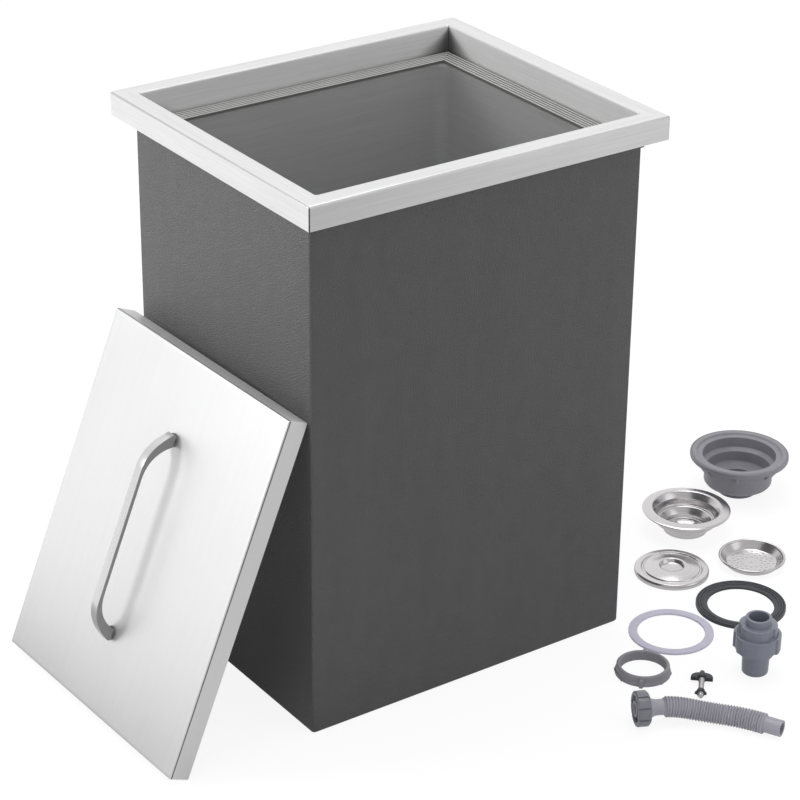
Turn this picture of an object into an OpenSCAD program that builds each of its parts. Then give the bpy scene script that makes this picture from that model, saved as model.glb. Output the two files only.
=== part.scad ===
// Drop-in ice bin: an insulated bin with a folded steel rim, a lift-off lid
// that leans on its side, and the loose fittings of its drain.
// Millimetres. The origin is the centre of the bin's bottom face, +Z is up,
// +X runs along the bin's wide front and the front face looks along -Y.

/* [Rim] */
// Width of the rim, along X
rim_w = 356; // [340:1:420]
// Depth of the rim, along Y
rim_d = 306; // [292:1:380]
// Height of the bin, floor to rim top
bin_h = 491; // [400:1:560]
// Width of the rim's flat top
rim_flange = 18; // [17:0.5:26]
// Height of the rim's outer face
rim_face_h = 21; // [17:0.5:23]
// Sheet thickness of the rim
rim_sheet = 1.2; // [0.8:0.1:1.6]
// Bend radius along the rim's top edges
rim_bend_r = 2; // [1:0.25:3]
// Radius of the four corners of the opening
opening_r = 3; // [2.5:0.5:8]
// Drop from the rim top to the ledge that the lid sits on
ledge_drop = 23.5; // [22:0.5:30]

/* [Ledge strips] */
// Width of the ledge strips
strip_w = 19; // [14:0.5:24]
// Thickness of the ledge strips
strip_t = 4; // [3.5:0.5:6]
// Number of ribs along each strip
strip_ribs = 5; // [3:1:6]
// Radius of one rib
strip_rib_r = 1.3; // [0.8:0.1:1.4]

/* [Body] */
// How far the rim stands out past the body, along X
overhang_x = 13; // [9:0.5:14]
// How far the rim stands out past the body, along Y
overhang_y = 19; // [14:0.5:21]
// Wall thickness of the outer jacket
jacket_t = 2; // [1.5:0.25:3]
// Radius of the body's upright corners
body_corner_r = 5; // [3:0.5:8]
// Radius of the body's bottom edges
body_bottom_r = 3; // [3:0.5:12]
// Thickness of the insulation under the tub
bottom_foam = 58; // [56:1:80]

/* [Tub] */
// Sheet thickness of the tub
tub_sheet = 1; // [0.8:0.1:1.5]
// Radius of the tub's upright corners
tub_corner_r = 12; // [8:1:20]
// Radius between the tub's walls and floor
tub_bottom_r = 14; // [8:1:20]
// Width of the tub's flange under the ledge strips
tub_flange = 10; // [6:0.5:12]
// Radius at which the floor starts to fall towards the drain
fall_r = 90; // [70:1:100]
// How far the floor falls before the drain seat
fall_h = 3; // [1.5:0.5:5]

/* [Drain seat] */
// Diameter of the drain hole in the tub floor
drain_hole_d = 60.5; // [60.2:0.1:61]
// Depth of the seat that takes the drain flange's lip
drain_seat_h = 2.5; // [2:0.5:4]
// Gap round a drain flange in its seat
drain_seat_gap = 1; // [0.5:0.25:2]
// Diameter of the well under the tub that the drain body hangs in
drain_well_d = 112; // [106:1:116]

/* [Lid] */
// Gap between the lid and the opening, along X, on each side
lid_gap_x = 1; // [0.75:0.25:3]
// Gap between the lid and the opening, along Y, on each side
lid_gap_y = 2.5; // [1:0.25:4]
// Thickness of the lid
lid_t = 19; // [14:0.5:21]
// Sheet thickness of the lid's pans
lid_sheet = 1; // [0.8:0.1:1.5]
// Bend radius along the lid's top edges
lid_bend_r = 1.5; // [1:0.25:2.5]
// Height of the upturned sides of the lid's bottom pan
lid_inner_side = 9; // [6:0.5:11]
// Lean of the lid from upright, in degrees
lid_lean = 22.5; // [15:0.5:35]
// Turn of the lid on the floor, in degrees
lid_turn = 1.5; // [0:0.5:4]
// How far the lid stands off the bin's middle, along Y
lid_offset_y = 0; // [-20:1:20]
// Gap between the leaning lid and the body
lean_gap = 0.3; // [0.2:0.1:1]

/* [Lid handle] */
// Distance between the middles of the handle's feet
handle_span = 177; // [140:1:220]
// Length of the handle's straight middle
handle_straight = 120; // [90:1:130]
// Width of the handle's flat bar
handle_w = 9.5; // [8:0.5:16]
// Thickness of the bar in the middle
handle_t = 3.5; // [3:0.25:6]
// Length of the bar's square end on each foot
handle_foot_len = 9.5; // [9:0.5:12]
// Height of the bar's outer face above the lid
handle_h = 26.5; // [24:0.5:40]
// Height of the bar's blunt end above its foot
handle_end_h = 3; // [2:0.25:5]
// Height of the feet under the handle
foot_h = 1.5; // [1:0.5:3]
// Diameter of the feet under the handle
foot_d = 12; // [9:0.5:13]
// Shank diameter of the handle screws
handle_screw_d = 4; // [3:0.5:4.5]
// Length of the handle screws under their heads
handle_screw_len = 7.5; // [6:0.5:8]

/* [Drain flange] */
// Outer diameter of the drain flange's lip
flange_d = 85; // [84:0.5:87]
// Height of the drain flange
flange_h = 24; // [22:0.5:30]
// Sheet thickness of the drain flange
flange_sheet = 1.2; // [1:0.1:1.5]
// Inner radius of the drain flange's throat
throat_r = 28.5; // [28:0.1:28.7]
// Inner radius of the drain flange's lower well
well_r = 20; // [18.5:0.25:22]
// Radius of the outlet hole under the well
outlet_r = 16; // [14:0.25:17]
// Radius of the hub in the middle of the four arms
hub_r = 6; // [5:0.25:7]
// Radius of the bolt hole in the hub
hub_hole_r = 3.2; // [2.8:0.1:4]

/* [Strainer and plug] */
// Diameter of the strainer's rolled rim
strainer_d = 63; // [62.2:0.2:64]
// Depth of the strainer's dish
strainer_h = 9; // [7:0.5:12]
// Radius of the strainer's flat bottom
strainer_floor_r = 24.5; // [24:0.25:26]
// Radius of the rolled bead along the strainer's rim
strainer_bead_r = 1.3; // [1:0.1:1.6]
// Radius of one strainer hole
strainer_hole_r = 1.1; // [0.8:0.1:1.3]
// Number of holes on each of the strainer's rings
strainer_holes = 12; // [6:1:14]
// Diameter of the plug cover
plug_d = 70; // [67:0.5:74]
// Height of the plug cover's turned-down edge
plug_edge_h = 5; // [4:0.5:8]
// Sheet thickness of the strainer and the plug cover
dish_sheet = 1; // [0.8:0.1:1.2]

/* [Seals and ring nut] */
// Outer diameter of the rubber gasket
gasket_d = 81; // [76:0.5:82]
// Inner diameter of the rubber gasket and of the slip washer
seal_bore_d = 61; // [60.6:0.2:64]
// Thickness of the rubber gasket without its ribs
gasket_t = 3.4; // [3:0.2:5]
// Outer diameter of the slip washer
washer_d = 77; // [74:0.5:80]
// Thickness of the slip washer
washer_t = 2; // [1.5:0.25:3]
// Outer diameter of the ring nut
ring_nut_d = 49.5; // [48:0.5:52]
// Height of the ring nut
ring_nut_h = 9; // [7:0.5:12]
// Diameter of the drain's outlet thread
thread_d = 39; // [38:0.25:40]
// Radial gap between the outlet thread and its nuts
thread_gap = 0.2; // [0.1:0.05:0.4]

/* [Drain body] */
// Outer diameter of the drain body's top rim
basket_d = 97; // [95:0.5:100]
// Height of the drain body
basket_h = 42; // [38:0.5:46]
// Wall thickness of the drain body
basket_t = 2.5; // [2:0.25:3]
// Length of the outlet under the drain body
outlet_len = 12; // [10:0.5:15]
// Radius of the upper step inside the drain body
basket_step_r = 36; // [35:0.25:37]
// Inner radius of the drain body's lower bowl
basket_bowl_r = 31; // [30:0.25:32]
// Width of the four arms that carry the boss
spoke_w = 3; // [2:0.25:5]
// Diameter of the boss in the middle of the arms
boss_d = 14; // [12:0.5:16]
// Outer diameter of the threaded insert in the boss
insert_d = 8; // [7:0.25:9]
// Diameter of the clamp bolt's shank
stud_d = 5; // [4:0.25:5.5]

/* [Union] */
// Outer diameter of the union nut
union_nut_d = 42; // [41:0.5:46]
// Height of the union nut
union_nut_h = 16; // [15:0.5:20]
// Diameter of the union's upper collar
collar_d = 34; // [33:0.5:36]
// Height of the union's upper collar
collar_h = 9; // [6:0.5:12]
// Outer diameter of the union's two pipe ends
spigot_d = 24; // [22:0.5:26]
// Bore of the union
union_bore_d = 18; // [16:0.5:20]
// Length of the union's upper pipe end
spigot_top = 7; // [5:0.5:12]
// Length of the union's lower pipe end
spigot_bottom = 19; // [15:0.5:25]

/* [Hose] */
// Outer diameter of the hose's ribs
hose_d = 18.4; // [17:0.2:20]
// Diameter of the hose between its ribs
hose_root_d = 15.6; // [14.6:0.2:16.4]
// Bore of the hose
hose_bore_d = 10.4; // [9:0.2:11]
// Number of ribs along the hose
hose_ribs = 35; // [20:1:40]
// Outer diameter of the hose nut
hose_nut_d = 31; // [28:0.5:34]
// Height of the hose nut
hose_nut_h = 12; // [11:0.5:16]

/* [Clamp bolt] */
// Span of the bolt's wings
wing_span = 19.5; // [16:0.5:24]
// Height of the bolt's head
wing_h = 12.5; // [11:0.5:16]
// Length of the bolt's shank under its head
stud_len = 27.5; // [24:0.5:40]
// Span of the small wing nut
wing_nut_span = 10.4; // [9.4:0.2:14]
// Height of the small wing nut
wing_nut_h = 5; // [4:0.5:7]

/* [Hidden] */
$fn = 72;
e = 0.01;

steel = [0.80, 0.80, 0.79];
steel_dull = [0.62, 0.62, 0.62];
grey_plastic = [0.56, 0.56, 0.58];

open_w = rim_w - 2 * rim_flange;
open_d = rim_d - 2 * rim_flange;
tub_w = open_w - 2 * strip_w;
tub_d = open_d - 2 * strip_w;
body_w = rim_w - 2 * overhang_x;
body_d = rim_d - 2 * overhang_y;
rim_under = bin_h - rim_face_h;
ledge_top = bin_h - ledge_drop;
ledge_under = ledge_top - strip_t;
fit = 0.05;

// The collar is the jacket's wider top, which closes the space behind the rim's inner wall.
collar_wall_w = open_w + 2 * rim_sheet + 2 * jacket_t + 2 * fit;
collar_wall_d = open_d + 2 * rim_sheet + 2 * jacket_t + 2 * fit;
jacket_top_w = max(body_w, collar_wall_w);
jacket_top_d = max(body_d, collar_wall_d);
jacket_step = ledge_under - jacket_t;

tub_under = jacket_t + bottom_foam;
tub_floor = tub_under + tub_sheet;
drain_seat_r = flange_d / 2 + drain_seat_gap;
drain_drop = fall_h + drain_seat_h;
drain_under = tub_under - drain_drop;

lid_w = open_w - 2 * lid_gap_x;
lid_d = open_d - 2 * lid_gap_y;
lid_x = -body_w / 2 - lean_gap - lid_w * sin(lid_lean) * cos(lid_turn) - lid_d / 2 * sin(lid_turn);
lid_y = lid_offset_y;

// Where the middle of each loose fitting stands on the floor.
drain_body_at = [421.5, -5];
drain_flange_at = [327.5, -37];
strainer_at = [336.5, -123];
plug_cover_at = [263.5, -93];
rubber_gasket_at = [275.5, -177];
slip_washer_at = [192.5, -177];
ring_nut_at = [129, -214];
union_at = [212, -268];
bolt_at = [160, -257];
fittings_turn = 47;

// The hose's middle line, from its nut to its far end, in the hose's own frame on the floor.
hose_points = [
    [0, 0, 15.5], [10, 0, 15.5], [20, 0, 15.5], [27, 0, 15.4], [35, -0.3, 14.7], [43, -1, 13.4],
    [51, -2.3, 11.7], [59, -4.2, 10.3], [67, -6.7, 9.5], [75, -9.9, 9.2], [82.5, -13.3, 9.2],
    [90, -17.4, 9.2], [97, -21.9, 9.2], [103.5, -26.7, 9.2], [111, -32.6, 9.2], [118.5, -38.5, 9.2]
];
hose_at = [70, -274];
hose_turn = -25.6;

// Shared outlines

module round_rect(w, d, r) {
    square([w - 2 * r, d], center = true);
    square([w, d - 2 * r], center = true);
    for (x = [-1, 1], y = [-1, 1])
        translate([x * (w / 2 - r), y * (d / 2 - r)])
            circle(r);
}

// A side view with its two lower corners rounded.
module pan_side(w, h, r) {
    translate([-w / 2, r])
        square([w, h - r]);
    translate([-w / 2 + r, 0])
        square([w - 2 * r, h]);
    for (x = [-1, 1])
        translate([x * (w / 2 - r), r])
            circle(r);
}

// A block with upright corners of radius r and bottom edges of radius rb.
module pan_block(w, d, h, r, rb) {
    intersection() {
        linear_extrude(h)
            round_rect(w, d, r);
        translate([0, d / 2 + 1, 0])
            rotate([90, 0, 0])
                linear_extrude(d + 2)
                    pan_side(w, h, rb);
        translate([-w / 2 - 1, 0, 0])
            rotate([90, 0, 90])
                linear_extrude(w + 2)
                    pan_side(d, h, rb);
    }
}

// The same block with its rounded edges on top.
module cap_block(w, d, h, r, rt) {
    translate([0, 0, h])
        mirror([0, 0, 1])
            pan_block(w, d, h, r, rt);
}

module plate_ring(w, d, r, w_in, d_in, r_in, h) {
    linear_extrude(h)
        difference() {
            round_rect(w, d, r);
            round_rect(w_in, d_in, r_in);
        }
}

module tube(r_out, r_in, h) {
    linear_extrude(h)
        difference() {
            circle(r_out);
            circle(r_in);
        }
}

function arc(cx, cy, r, from, to, n) =
    [for (i = [0 : n])
        let (a = from + (to - from) * i / n)
        [cx + r * cos(a), cy + r * sin(a)]];

// Bin

module rim_frame() {
    color(steel)
    difference() {
        translate([0, 0, rim_under])
            cap_block(rim_w, rim_d, rim_face_h, rim_bend_r, rim_bend_r);
        translate([0, 0, rim_under - e])
            linear_extrude(rim_face_h - rim_sheet + e)
                difference() {
                    round_rect(rim_w - 2 * rim_sheet, rim_d - 2 * rim_sheet, rim_bend_r);
                    round_rect(open_w + 2 * rim_sheet, open_d + 2 * rim_sheet, opening_r + rim_sheet);
                }
        translate([0, 0, rim_under - 1])
            linear_extrude(rim_face_h + 2)
                round_rect(open_w, open_d, opening_r);
    }
    color(steel)
    translate([0, 0, ledge_under])
        plate_ring(
            open_w + 2 * rim_sheet, open_d + 2 * rim_sheet, opening_r + rim_sheet,
            open_w, open_d, opening_r, rim_under - ledge_under + e
        );
}

// One ribbed strip along X, with its outer edge on the line y = 0 and its ends mitred.
module ledge_strip(len) {
    pitch = strip_w / (strip_ribs + 0.4);
    intersection() {
        rotate([90, 0, 90])
            translate([0, 0, -len / 2])
                linear_extrude(len)
                    union() {
                        square([strip_w, strip_t - strip_rib_r * 0.8]);
                        for (i = [0 : strip_ribs - 1])
                            translate([pitch * (i + 0.7), strip_t - strip_rib_r])
                                circle(strip_rib_r, $fn = 24);
                    }
        translate([0, 0, -1])
            linear_extrude(strip_t + 2)
                polygon([
                    [-len / 2 + fit, 0], [len / 2 - fit, 0],
                    [len / 2 - strip_w - fit, strip_w], [-len / 2 + strip_w + fit, strip_w]
                ]);
    }
}

// A strip in its place, clipped to the rounded corners of the opening.
module placed_strip(len, out, turn) {
    color([0.62, 0.62, 0.60])
    intersection() {
        translate([0, 0, ledge_under])
            rotate([0, 0, turn])
                translate([0, -out, 0])
                    ledge_strip(len);
        translate([0, 0, ledge_under - 1])
            linear_extrude(strip_t + 2)
                round_rect(open_w - 2 * fit, open_d - 2 * fit, opening_r);
    }
}

module ledge_strip_front() {
    placed_strip(open_w, open_d / 2, 0);
}

module ledge_strip_back() {
    placed_strip(open_w, open_d / 2, 180);
}

module ledge_strip_right() {
    placed_strip(open_d, open_w / 2, 90);
}

module ledge_strip_left() {
    placed_strip(open_d, open_w / 2, -90);
}

// The tub's outer shape, flange left out: walls, coved floor, fall and drain seat.
module tub_block(grow, top) {
    translate([0, 0, tub_floor - grow])
        pan_block(
            tub_w + 2 * grow, tub_d + 2 * grow, top - tub_floor + grow,
            tub_corner_r + grow, tub_bottom_r + grow
        );
    translate([0, 0, tub_floor - grow - fall_h])
        cylinder(h = fall_h + e, r1 = drain_seat_r + grow, r2 = fall_r + grow);
    translate([0, 0, tub_floor - grow - drain_drop])
        cylinder(h = drain_drop + e, r = drain_seat_r + grow);
}

module tub_liner() {
    color(steel_dull)
    difference() {
        union() {
            tub_block(tub_sheet, ledge_under);
            translate([0, 0, ledge_under - tub_sheet])
                linear_extrude(tub_sheet)
                    round_rect(tub_w + 2 * tub_flange, tub_d + 2 * tub_flange, tub_corner_r);
        }
        tub_block(0, ledge_under + 1);
        translate([0, 0, drain_under - 1])
            cylinder(h = tub_sheet + 2, d = drain_hole_d);
    }
}

module foam_core() {
    foam_inset = 2 * jacket_t + 2 * fit;
    rim_in = 2 * rim_sheet + 2 * fit;
    flange_out = 2 * tub_flange + 2 * fit;
    color([0.90, 0.86, 0.68])
    difference() {
        union() {
            translate([0, 0, jacket_t + fit])
                pan_block(
                    body_w - foam_inset, body_d - foam_inset, ledge_under - jacket_t - fit + e,
                    body_corner_r - jacket_t, body_bottom_r - jacket_t
                );
            translate([0, 0, jacket_step + jacket_t])
                linear_extrude(rim_under - jacket_step + e)
                    round_rect(jacket_top_w - foam_inset, jacket_top_d - foam_inset, 1);
            translate([0, 0, rim_under + jacket_t])
                linear_extrude(rim_face_h - rim_sheet - jacket_t)
                    round_rect(rim_w - rim_in, rim_d - rim_in, rim_bend_r);
        }
        translate([0, 0, ledge_under])
            linear_extrude(bin_h)
                round_rect(open_w + rim_in, open_d + rim_in, opening_r + rim_sheet);
        translate([0, 0, ledge_under - tub_sheet - fit])
            linear_extrude(bin_h)
                round_rect(tub_w + flange_out, tub_d + flange_out, tub_corner_r);
        tub_block(tub_sheet + fit, bin_h);
        cylinder(h = tub_floor, d = drain_well_d + 2 * jacket_t + 2 * fit);
    }
}

module outer_jacket() {
    color([0.20, 0.20, 0.21])
    difference() {
        union() {
            pan_block(body_w, body_d, rim_under, body_corner_r, body_bottom_r);
            translate([0, 0, jacket_step])
                linear_extrude(rim_under - jacket_step + e)
                    round_rect(jacket_top_w, jacket_top_d, body_corner_r - jacket_t);
            translate([0, 0, rim_under])
                linear_extrude(jacket_t)
                    round_rect(
                        rim_w - 2 * rim_sheet - 2 * fit, rim_d - 2 * rim_sheet - 2 * fit, rim_bend_r
                    );
        }
        difference() {
            union() {
                translate([0, 0, jacket_t])
                    pan_block(
                        body_w - 2 * jacket_t, body_d - 2 * jacket_t, bin_h,
                        body_corner_r - jacket_t, body_bottom_r - jacket_t
                    );
                translate([0, 0, jacket_step + jacket_t])
                    linear_extrude(bin_h)
                        round_rect(jacket_top_w - 2 * jacket_t, jacket_top_d - 2 * jacket_t, 1);
            }
            cylinder(h = drain_under, d = drain_well_d + 2 * jacket_t);
        }
        translate([0, 0, -1])
            cylinder(h = bin_h, d = drain_well_d);
    }
}

// Lid, drawn flat with one lower edge on the line x = 0 and then leaned on the bin

module lean() {
    translate([lid_x, lid_y, 0])
        rotate([0, 0, lid_turn])
            rotate([0, lid_lean - 90, 0])
                translate([lid_w / 2, 0, 0])
                    children();
}

module at_handle_feet() {
    for (side = [-1, 1])
        translate([side * handle_span / 2, 0, 0])
            children();
}

module lid_top_pan() {
    color(steel)
    lean()
    difference() {
        cap_block(lid_w, lid_d, lid_t, 1, lid_bend_r);
        translate([0, 0, -e])
            linear_extrude(lid_t - lid_sheet + e)
                round_rect(lid_w - 2 * lid_sheet, lid_d - 2 * lid_sheet, 0.5);
        at_handle_feet()
            cylinder(h = lid_t + 1, d = handle_screw_d + 2 * thread_gap, $fn = 32);
    }
}

module lid_foam() {
    color([0.90, 0.86, 0.68])
    lean()
    difference() {
        translate([0, 0, lid_sheet + fit])
            linear_extrude(lid_t - 2 * lid_sheet - 2 * fit)
                round_rect(lid_w - 4 * lid_sheet - 4 * fit, lid_d - 4 * lid_sheet - 4 * fit, 0.5);
        at_handle_feet()
            translate([0, 0, lid_t - lid_sheet - 5])
                cylinder(h = lid_t, d = handle_screw_d * 2 + 1, $fn = 32);
    }
}

module lid_bottom_pan() {
    color(steel_dull)
    lean()
    difference() {
        linear_extrude(lid_inner_side)
            round_rect(lid_w - 2 * lid_sheet - 2 * fit, lid_d - 2 * lid_sheet - 2 * fit, 0.5);
        translate([0, 0, lid_sheet])
            linear_extrude(lid_t)
                round_rect(lid_w - 4 * lid_sheet - 2 * fit, lid_d - 4 * lid_sheet - 2 * fit, 0.5);
    }
}

// A point on the curve that leaves a towards b and comes to c from b.
function bend_at(a, b, c, t) = a * (1 - t) * (1 - t) + b * 2 * t * (1 - t) + c * t * t;

// Half of the bow's side view, from the middle of the bar to the foot.
function bow_half() =
    let (
        foot_in = handle_span / 2 - handle_foot_len / 2,
        foot_out = handle_span / 2 + handle_foot_len / 2,
        knee_x = handle_straight / 2,
        bar_under = handle_h - handle_t,
        bend_top = [knee_x, handle_h],
        bend_corner = [knee_x + (foot_out + 1 - knee_x) * 0.6, handle_h],
        bend_end = [foot_out + 1, foot_h + handle_end_h],
        under_foot = [foot_in, foot_h],
        under_bend = [foot_in - 9, bar_under],
        under_bar = [knee_x - 8, bar_under]
    )
    concat(
        [for (i = [0 : 10]) bend_at(bend_top, bend_corner, bend_end, i / 10)],
        [[foot_out, foot_h]],
        [for (i = [0 : 10]) bend_at(under_foot, under_bend, under_bar, i / 10)]
    );

module lid_handle() {
    half = bow_half();
    other_half = [for (i = [len(half) - 1 : -1 : 0]) [-half[i].x, half[i].y]];
    color(steel)
    lean()
    translate([0, 0, lid_t])
    difference() {
        rotate([90, 0, 0])
            translate([0, 0, -handle_w / 2])
                linear_extrude(handle_w)
                    polygon(concat(half, other_half));
        at_handle_feet()
            translate([0, 0, -lid_t])
                cylinder(h = lid_t - lid_sheet + handle_screw_len, d = handle_screw_d + 2 * fit, $fn = 32);
    }
}

module handle_feet() {
    color([0.22, 0.22, 0.23])
    lean()
    at_handle_feet()
        translate([0, 0, lid_t])
            tube(foot_d / 2, handle_screw_d / 2 + thread_gap, foot_h);
}

module handle_screws() {
    color(steel_dull)
    lean()
    at_handle_feet() {
        translate([0, 0, lid_t - lid_sheet])
            cylinder(h = handle_screw_len - 0.5, d = handle_screw_d, $fn = 32);
        translate([0, 0, lid_t - lid_sheet - handle_screw_d * 0.6])
            cylinder(h = handle_screw_d * 0.6, d = handle_screw_d * 1.8, $fn = 32);
    }
}

// Drain fittings, each standing loose on the floor

module on_floor(at) {
    translate([at.x, at.y, 0])
        rotate([0, 0, fittings_turn])
            children();
}

module drain_body() {
    r_out = basket_d / 2;
    r_thread = thread_d / 2;
    z_floor = outlet_len;
    z_bowl = z_floor + basket_t;
    z_step = basket_h - 15;
    z_rim = basket_h - 5;
    r_seat = gasket_d / 2 + 0.5;
    r_bowl_out = basket_bowl_r + basket_t;
    r_step_out = basket_step_r + basket_t;
    color(grey_plastic)
    on_floor(drain_body_at) {
        rotate_extrude()
            polygon([
                [outlet_r + 1, 0], [r_thread, 0], [r_thread, z_floor - basket_t],
                [r_bowl_out - 2, z_floor - basket_t], [r_bowl_out, z_floor],
                [r_bowl_out, z_step - basket_t], [r_step_out, z_step],
                [r_step_out, z_rim], [r_out - 1, z_rim], [r_out, z_rim + 1],
                [r_out, basket_h - 1], [r_out - 1, basket_h], [r_seat + 1, basket_h],
                [r_seat, basket_h - 2], [basket_step_r, basket_h - 2], [basket_step_r, z_step + basket_t],
                [basket_bowl_r, z_step], [basket_bowl_r, z_bowl + 2], [basket_bowl_r - 2, z_bowl],
                [outlet_r + 1, z_bowl]
            ]);
        for (i = [0 : 7])
            rotate([0, 0, i * 45])
                translate([r_step_out - 0.5, 1, 0])
                    rotate([90, 0, 0])
                        linear_extrude(2)
                            polygon([[0, z_step], [r_out - r_step_out - 2, z_rim + e], [0, z_rim + e]]);
        difference() {
            union() {
                for (i = [0 : 3])
                    rotate([0, 0, 45 + i * 90])
                        translate([0, -spoke_w / 2, z_floor - basket_t])
                            cube([outlet_r + 1.5, spoke_w, 2 * basket_t]);
                translate([0, 0, z_floor - 2 * basket_t])
                    cylinder(h = 4 * basket_t, d = boss_d);
            }
            translate([0, 0, -1])
                cylinder(h = basket_h, d = insert_d);
        }
    }
}

module thread_insert() {
    color(steel_dull)
    on_floor(drain_body_at)
        translate([0, 0, outlet_len - 2 * basket_t])
            tube(insert_d / 2 - fit / 5, stud_d / 2 + fit, 4 * basket_t);
}

module drain_flange() {
    s = flange_sheet;
    r_lip = flange_d / 2;
    z_lip = flange_h;
    z_neck = flange_h - 6;
    z_shelf = 11;
    z_well = 3;
    r_shelf = well_r + 5;
    color(steel)
    on_floor(drain_flange_at) {
        rotate_extrude()
            polygon([
                [outlet_r, 0], [well_r + s - 0.8, 0], [well_r + s, 0.8], [well_r + s, z_well + 2],
                [r_shelf + s, z_shelf - 3], [throat_r + s - 1, z_shelf - s], [throat_r + s, z_shelf],
                [throat_r + s, z_neck - 0.4], [throat_r + s + 4.5, z_lip - 2.2 * s],
                [r_lip - 0.6, z_lip - 2.6 * s],
                [r_lip, z_lip - 2.2 * s], [r_lip, z_lip - 1.6 * s], [r_lip - 1.6, z_lip - 0.8 * s],
                [throat_r + 6, z_lip], [throat_r + 4.6, z_lip - 0.5], [throat_r, z_neck],
                [throat_r, z_shelf + 0.8], [throat_r - 0.8, z_shelf], [r_shelf, z_shelf],
                [well_r, z_well + 2], [well_r, s + 0.6], [well_r - 0.6, s], [outlet_r, s]
            ]);
        difference() {
            union() {
                for (i = [0 : 3])
                    rotate([0, 0, 45 + i * 90])
                        translate([0, -spoke_w / 2, 0])
                            cube([outlet_r + 0.5, spoke_w, 2]);
                cylinder(h = 3, r = hub_r);
            }
            translate([0, 0, -1])
                cylinder(h = 5, r = hub_hole_r);
        }
    }
}

// Radii of the strainer's rings of holes; every other ring is turned by half a step.
strainer_rings = [9.8, 13.4, 16, 18, 20.6];

module strainer() {
    s = dish_sheet;
    r_rim = strainer_d / 2;
    r_bead = strainer_bead_r;
    r_wall = r_rim - 2 * r_bead;
    color(steel)
    on_floor(strainer_at)
    difference() {
        union() {
            rotate_extrude()
                polygon([
                    [0, 0], [strainer_floor_r - 0.8, 0], [strainer_floor_r + 0.4, 0.8],
                    [r_wall + s, strainer_h - r_bead], [r_rim - r_bead, strainer_h - r_bead - s / 2],
                    [r_rim - r_bead, strainer_h - r_bead + s / 2], [r_wall, strainer_h - r_bead + s],
                    [strainer_floor_r - 0.6, s + 0.6], [strainer_floor_r - 1.4, s], [0, s]
                ]);
            rotate_extrude()
                translate([r_rim - r_bead, strainer_h - r_bead])
                    circle(r_bead, $fn = 24);
        }
        translate([0, 0, -1])
            cylinder(h = s + 2, r = strainer_hole_r, $fn = 24);
        for (ring = [0 : len(strainer_rings) - 1], i = [1 : strainer_holes])
            rotate([0, 0, (i + (ring % 2) / 2) * 360 / strainer_holes])
                translate([strainer_rings[ring], 0, -1])
                    cylinder(h = s + 2, r = strainer_hole_r, $fn = 24);
    }
}

module plug_cover() {
    s = dish_sheet;
    r = plug_d / 2;
    h = plug_edge_h;
    r_groove = r * 0.78;
    r_dimple = 11;
    color(steel)
    on_floor(plug_cover_at)
    rotate_extrude()
        polygon([
            [0, h - 1 - s], [r_dimple - 1, h - 1 - s],
            [r_dimple + 1, h + 2.2 - s], [r_dimple + 3, h + 2.2 - s],
            [r_groove - 1.6, h - 0.6 - s], [r_groove - 0.8, h - 1.4 - s], [r_groove + 0.8, h - 1.4 - s],
            [r_groove + 1.6, h - s], [r - 1.6 - s, h - s], [r - s, h - 1.6 - s], [r - s, 0],
            [r, 0], [r, h - 1.6], [r - 1.6, h], [r_groove + 1.6, h], [r_groove + 0.8, h - 1.2],
            [r_groove - 0.8, h - 1.2], [r_groove - 1.6, h], [r_dimple + 3, h + 2.8],
            [r_dimple + 1, h + 2.8], [r_dimple - 1, h - 1], [0, h - 1]
        ]);
}

module rubber_gasket() {
    r_in = seal_bore_d / 2;
    r_out = gasket_d / 2;
    pitch = (r_out - r_in) / 4;
    color([0.10, 0.10, 0.11])
    on_floor(rubber_gasket_at)
    rotate_extrude() {
        translate([r_in, 0])
            square([r_out - r_in, gasket_t - 0.6]);
        for (i = [0.5 : 3.5])
            translate([r_in + pitch * (i + 0.2), 0])
                square([pitch * 0.6, gasket_t]);
    }
}

module slip_washer() {
    color([0.93, 0.94, 0.97])
    on_floor(slip_washer_at)
        tube(washer_d / 2, seal_bore_d / 2, washer_t);
}

module ring_nut() {
    r = ring_nut_d / 2;
    color(grey_plastic)
    on_floor(ring_nut_at)
    difference() {
        union() {
            rotate_extrude()
                polygon([
                    [thread_d / 2 - 1, 0], [r, 0], [r, 2.5], [r - 1.2, 3], [r - 1.2, ring_nut_h - 0.8],
                    [r - 2, ring_nut_h], [thread_d / 2 - 1, ring_nut_h]
                ]);
            for (i = [0 : 1])
                rotate([0, 0, i * 180])
                    translate([r - 2.4, -1.75, 0])
                        cube([5.15, 3.5, ring_nut_h - 1.4]);
            for (a = [45, 90, 135, 225, 270, 315])
                rotate([0, 0, a])
                    translate([r - 2.2, -1.5, 0])
                        cube([2.9, 3, 1.8]);
        }
        translate([0, 0, -1])
            cylinder(h = ring_nut_h + 2, r = thread_d / 2 + thread_gap);
    }
}

// Union, from its lower pipe end up
union_collar_h = 4.5;
union_lip_t = 2.5;
union_nut_z = spigot_bottom + union_collar_h + 0.3;
union_seat_z = union_nut_z + union_lip_t + 0.1;
union_tail_t = 3;
union_seal_t = 2;
union_face_z = union_seat_z + union_tail_t + union_seal_t;
union_collar_z = union_nut_z + union_nut_h + 0.3;
union_thread_d = union_nut_d - 7;
union_neck_d = collar_d - 3;
union_flat_turn = -12;

module union_tail() {
    color(grey_plastic)
    on_floor(union_at)
    difference() {
        union() {
            cylinder(h = union_seat_z + union_tail_t, d = spigot_d);
            translate([0, 0, spigot_bottom])
                cylinder(h = union_collar_h, d = union_neck_d - 1);
            translate([0, 0, union_seat_z])
                cylinder(h = union_tail_t, d = union_thread_d - 1);
        }
        translate([0, 0, -1])
            cylinder(h = union_seat_z + union_tail_t + 2, d = union_bore_d);
    }
}

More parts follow.
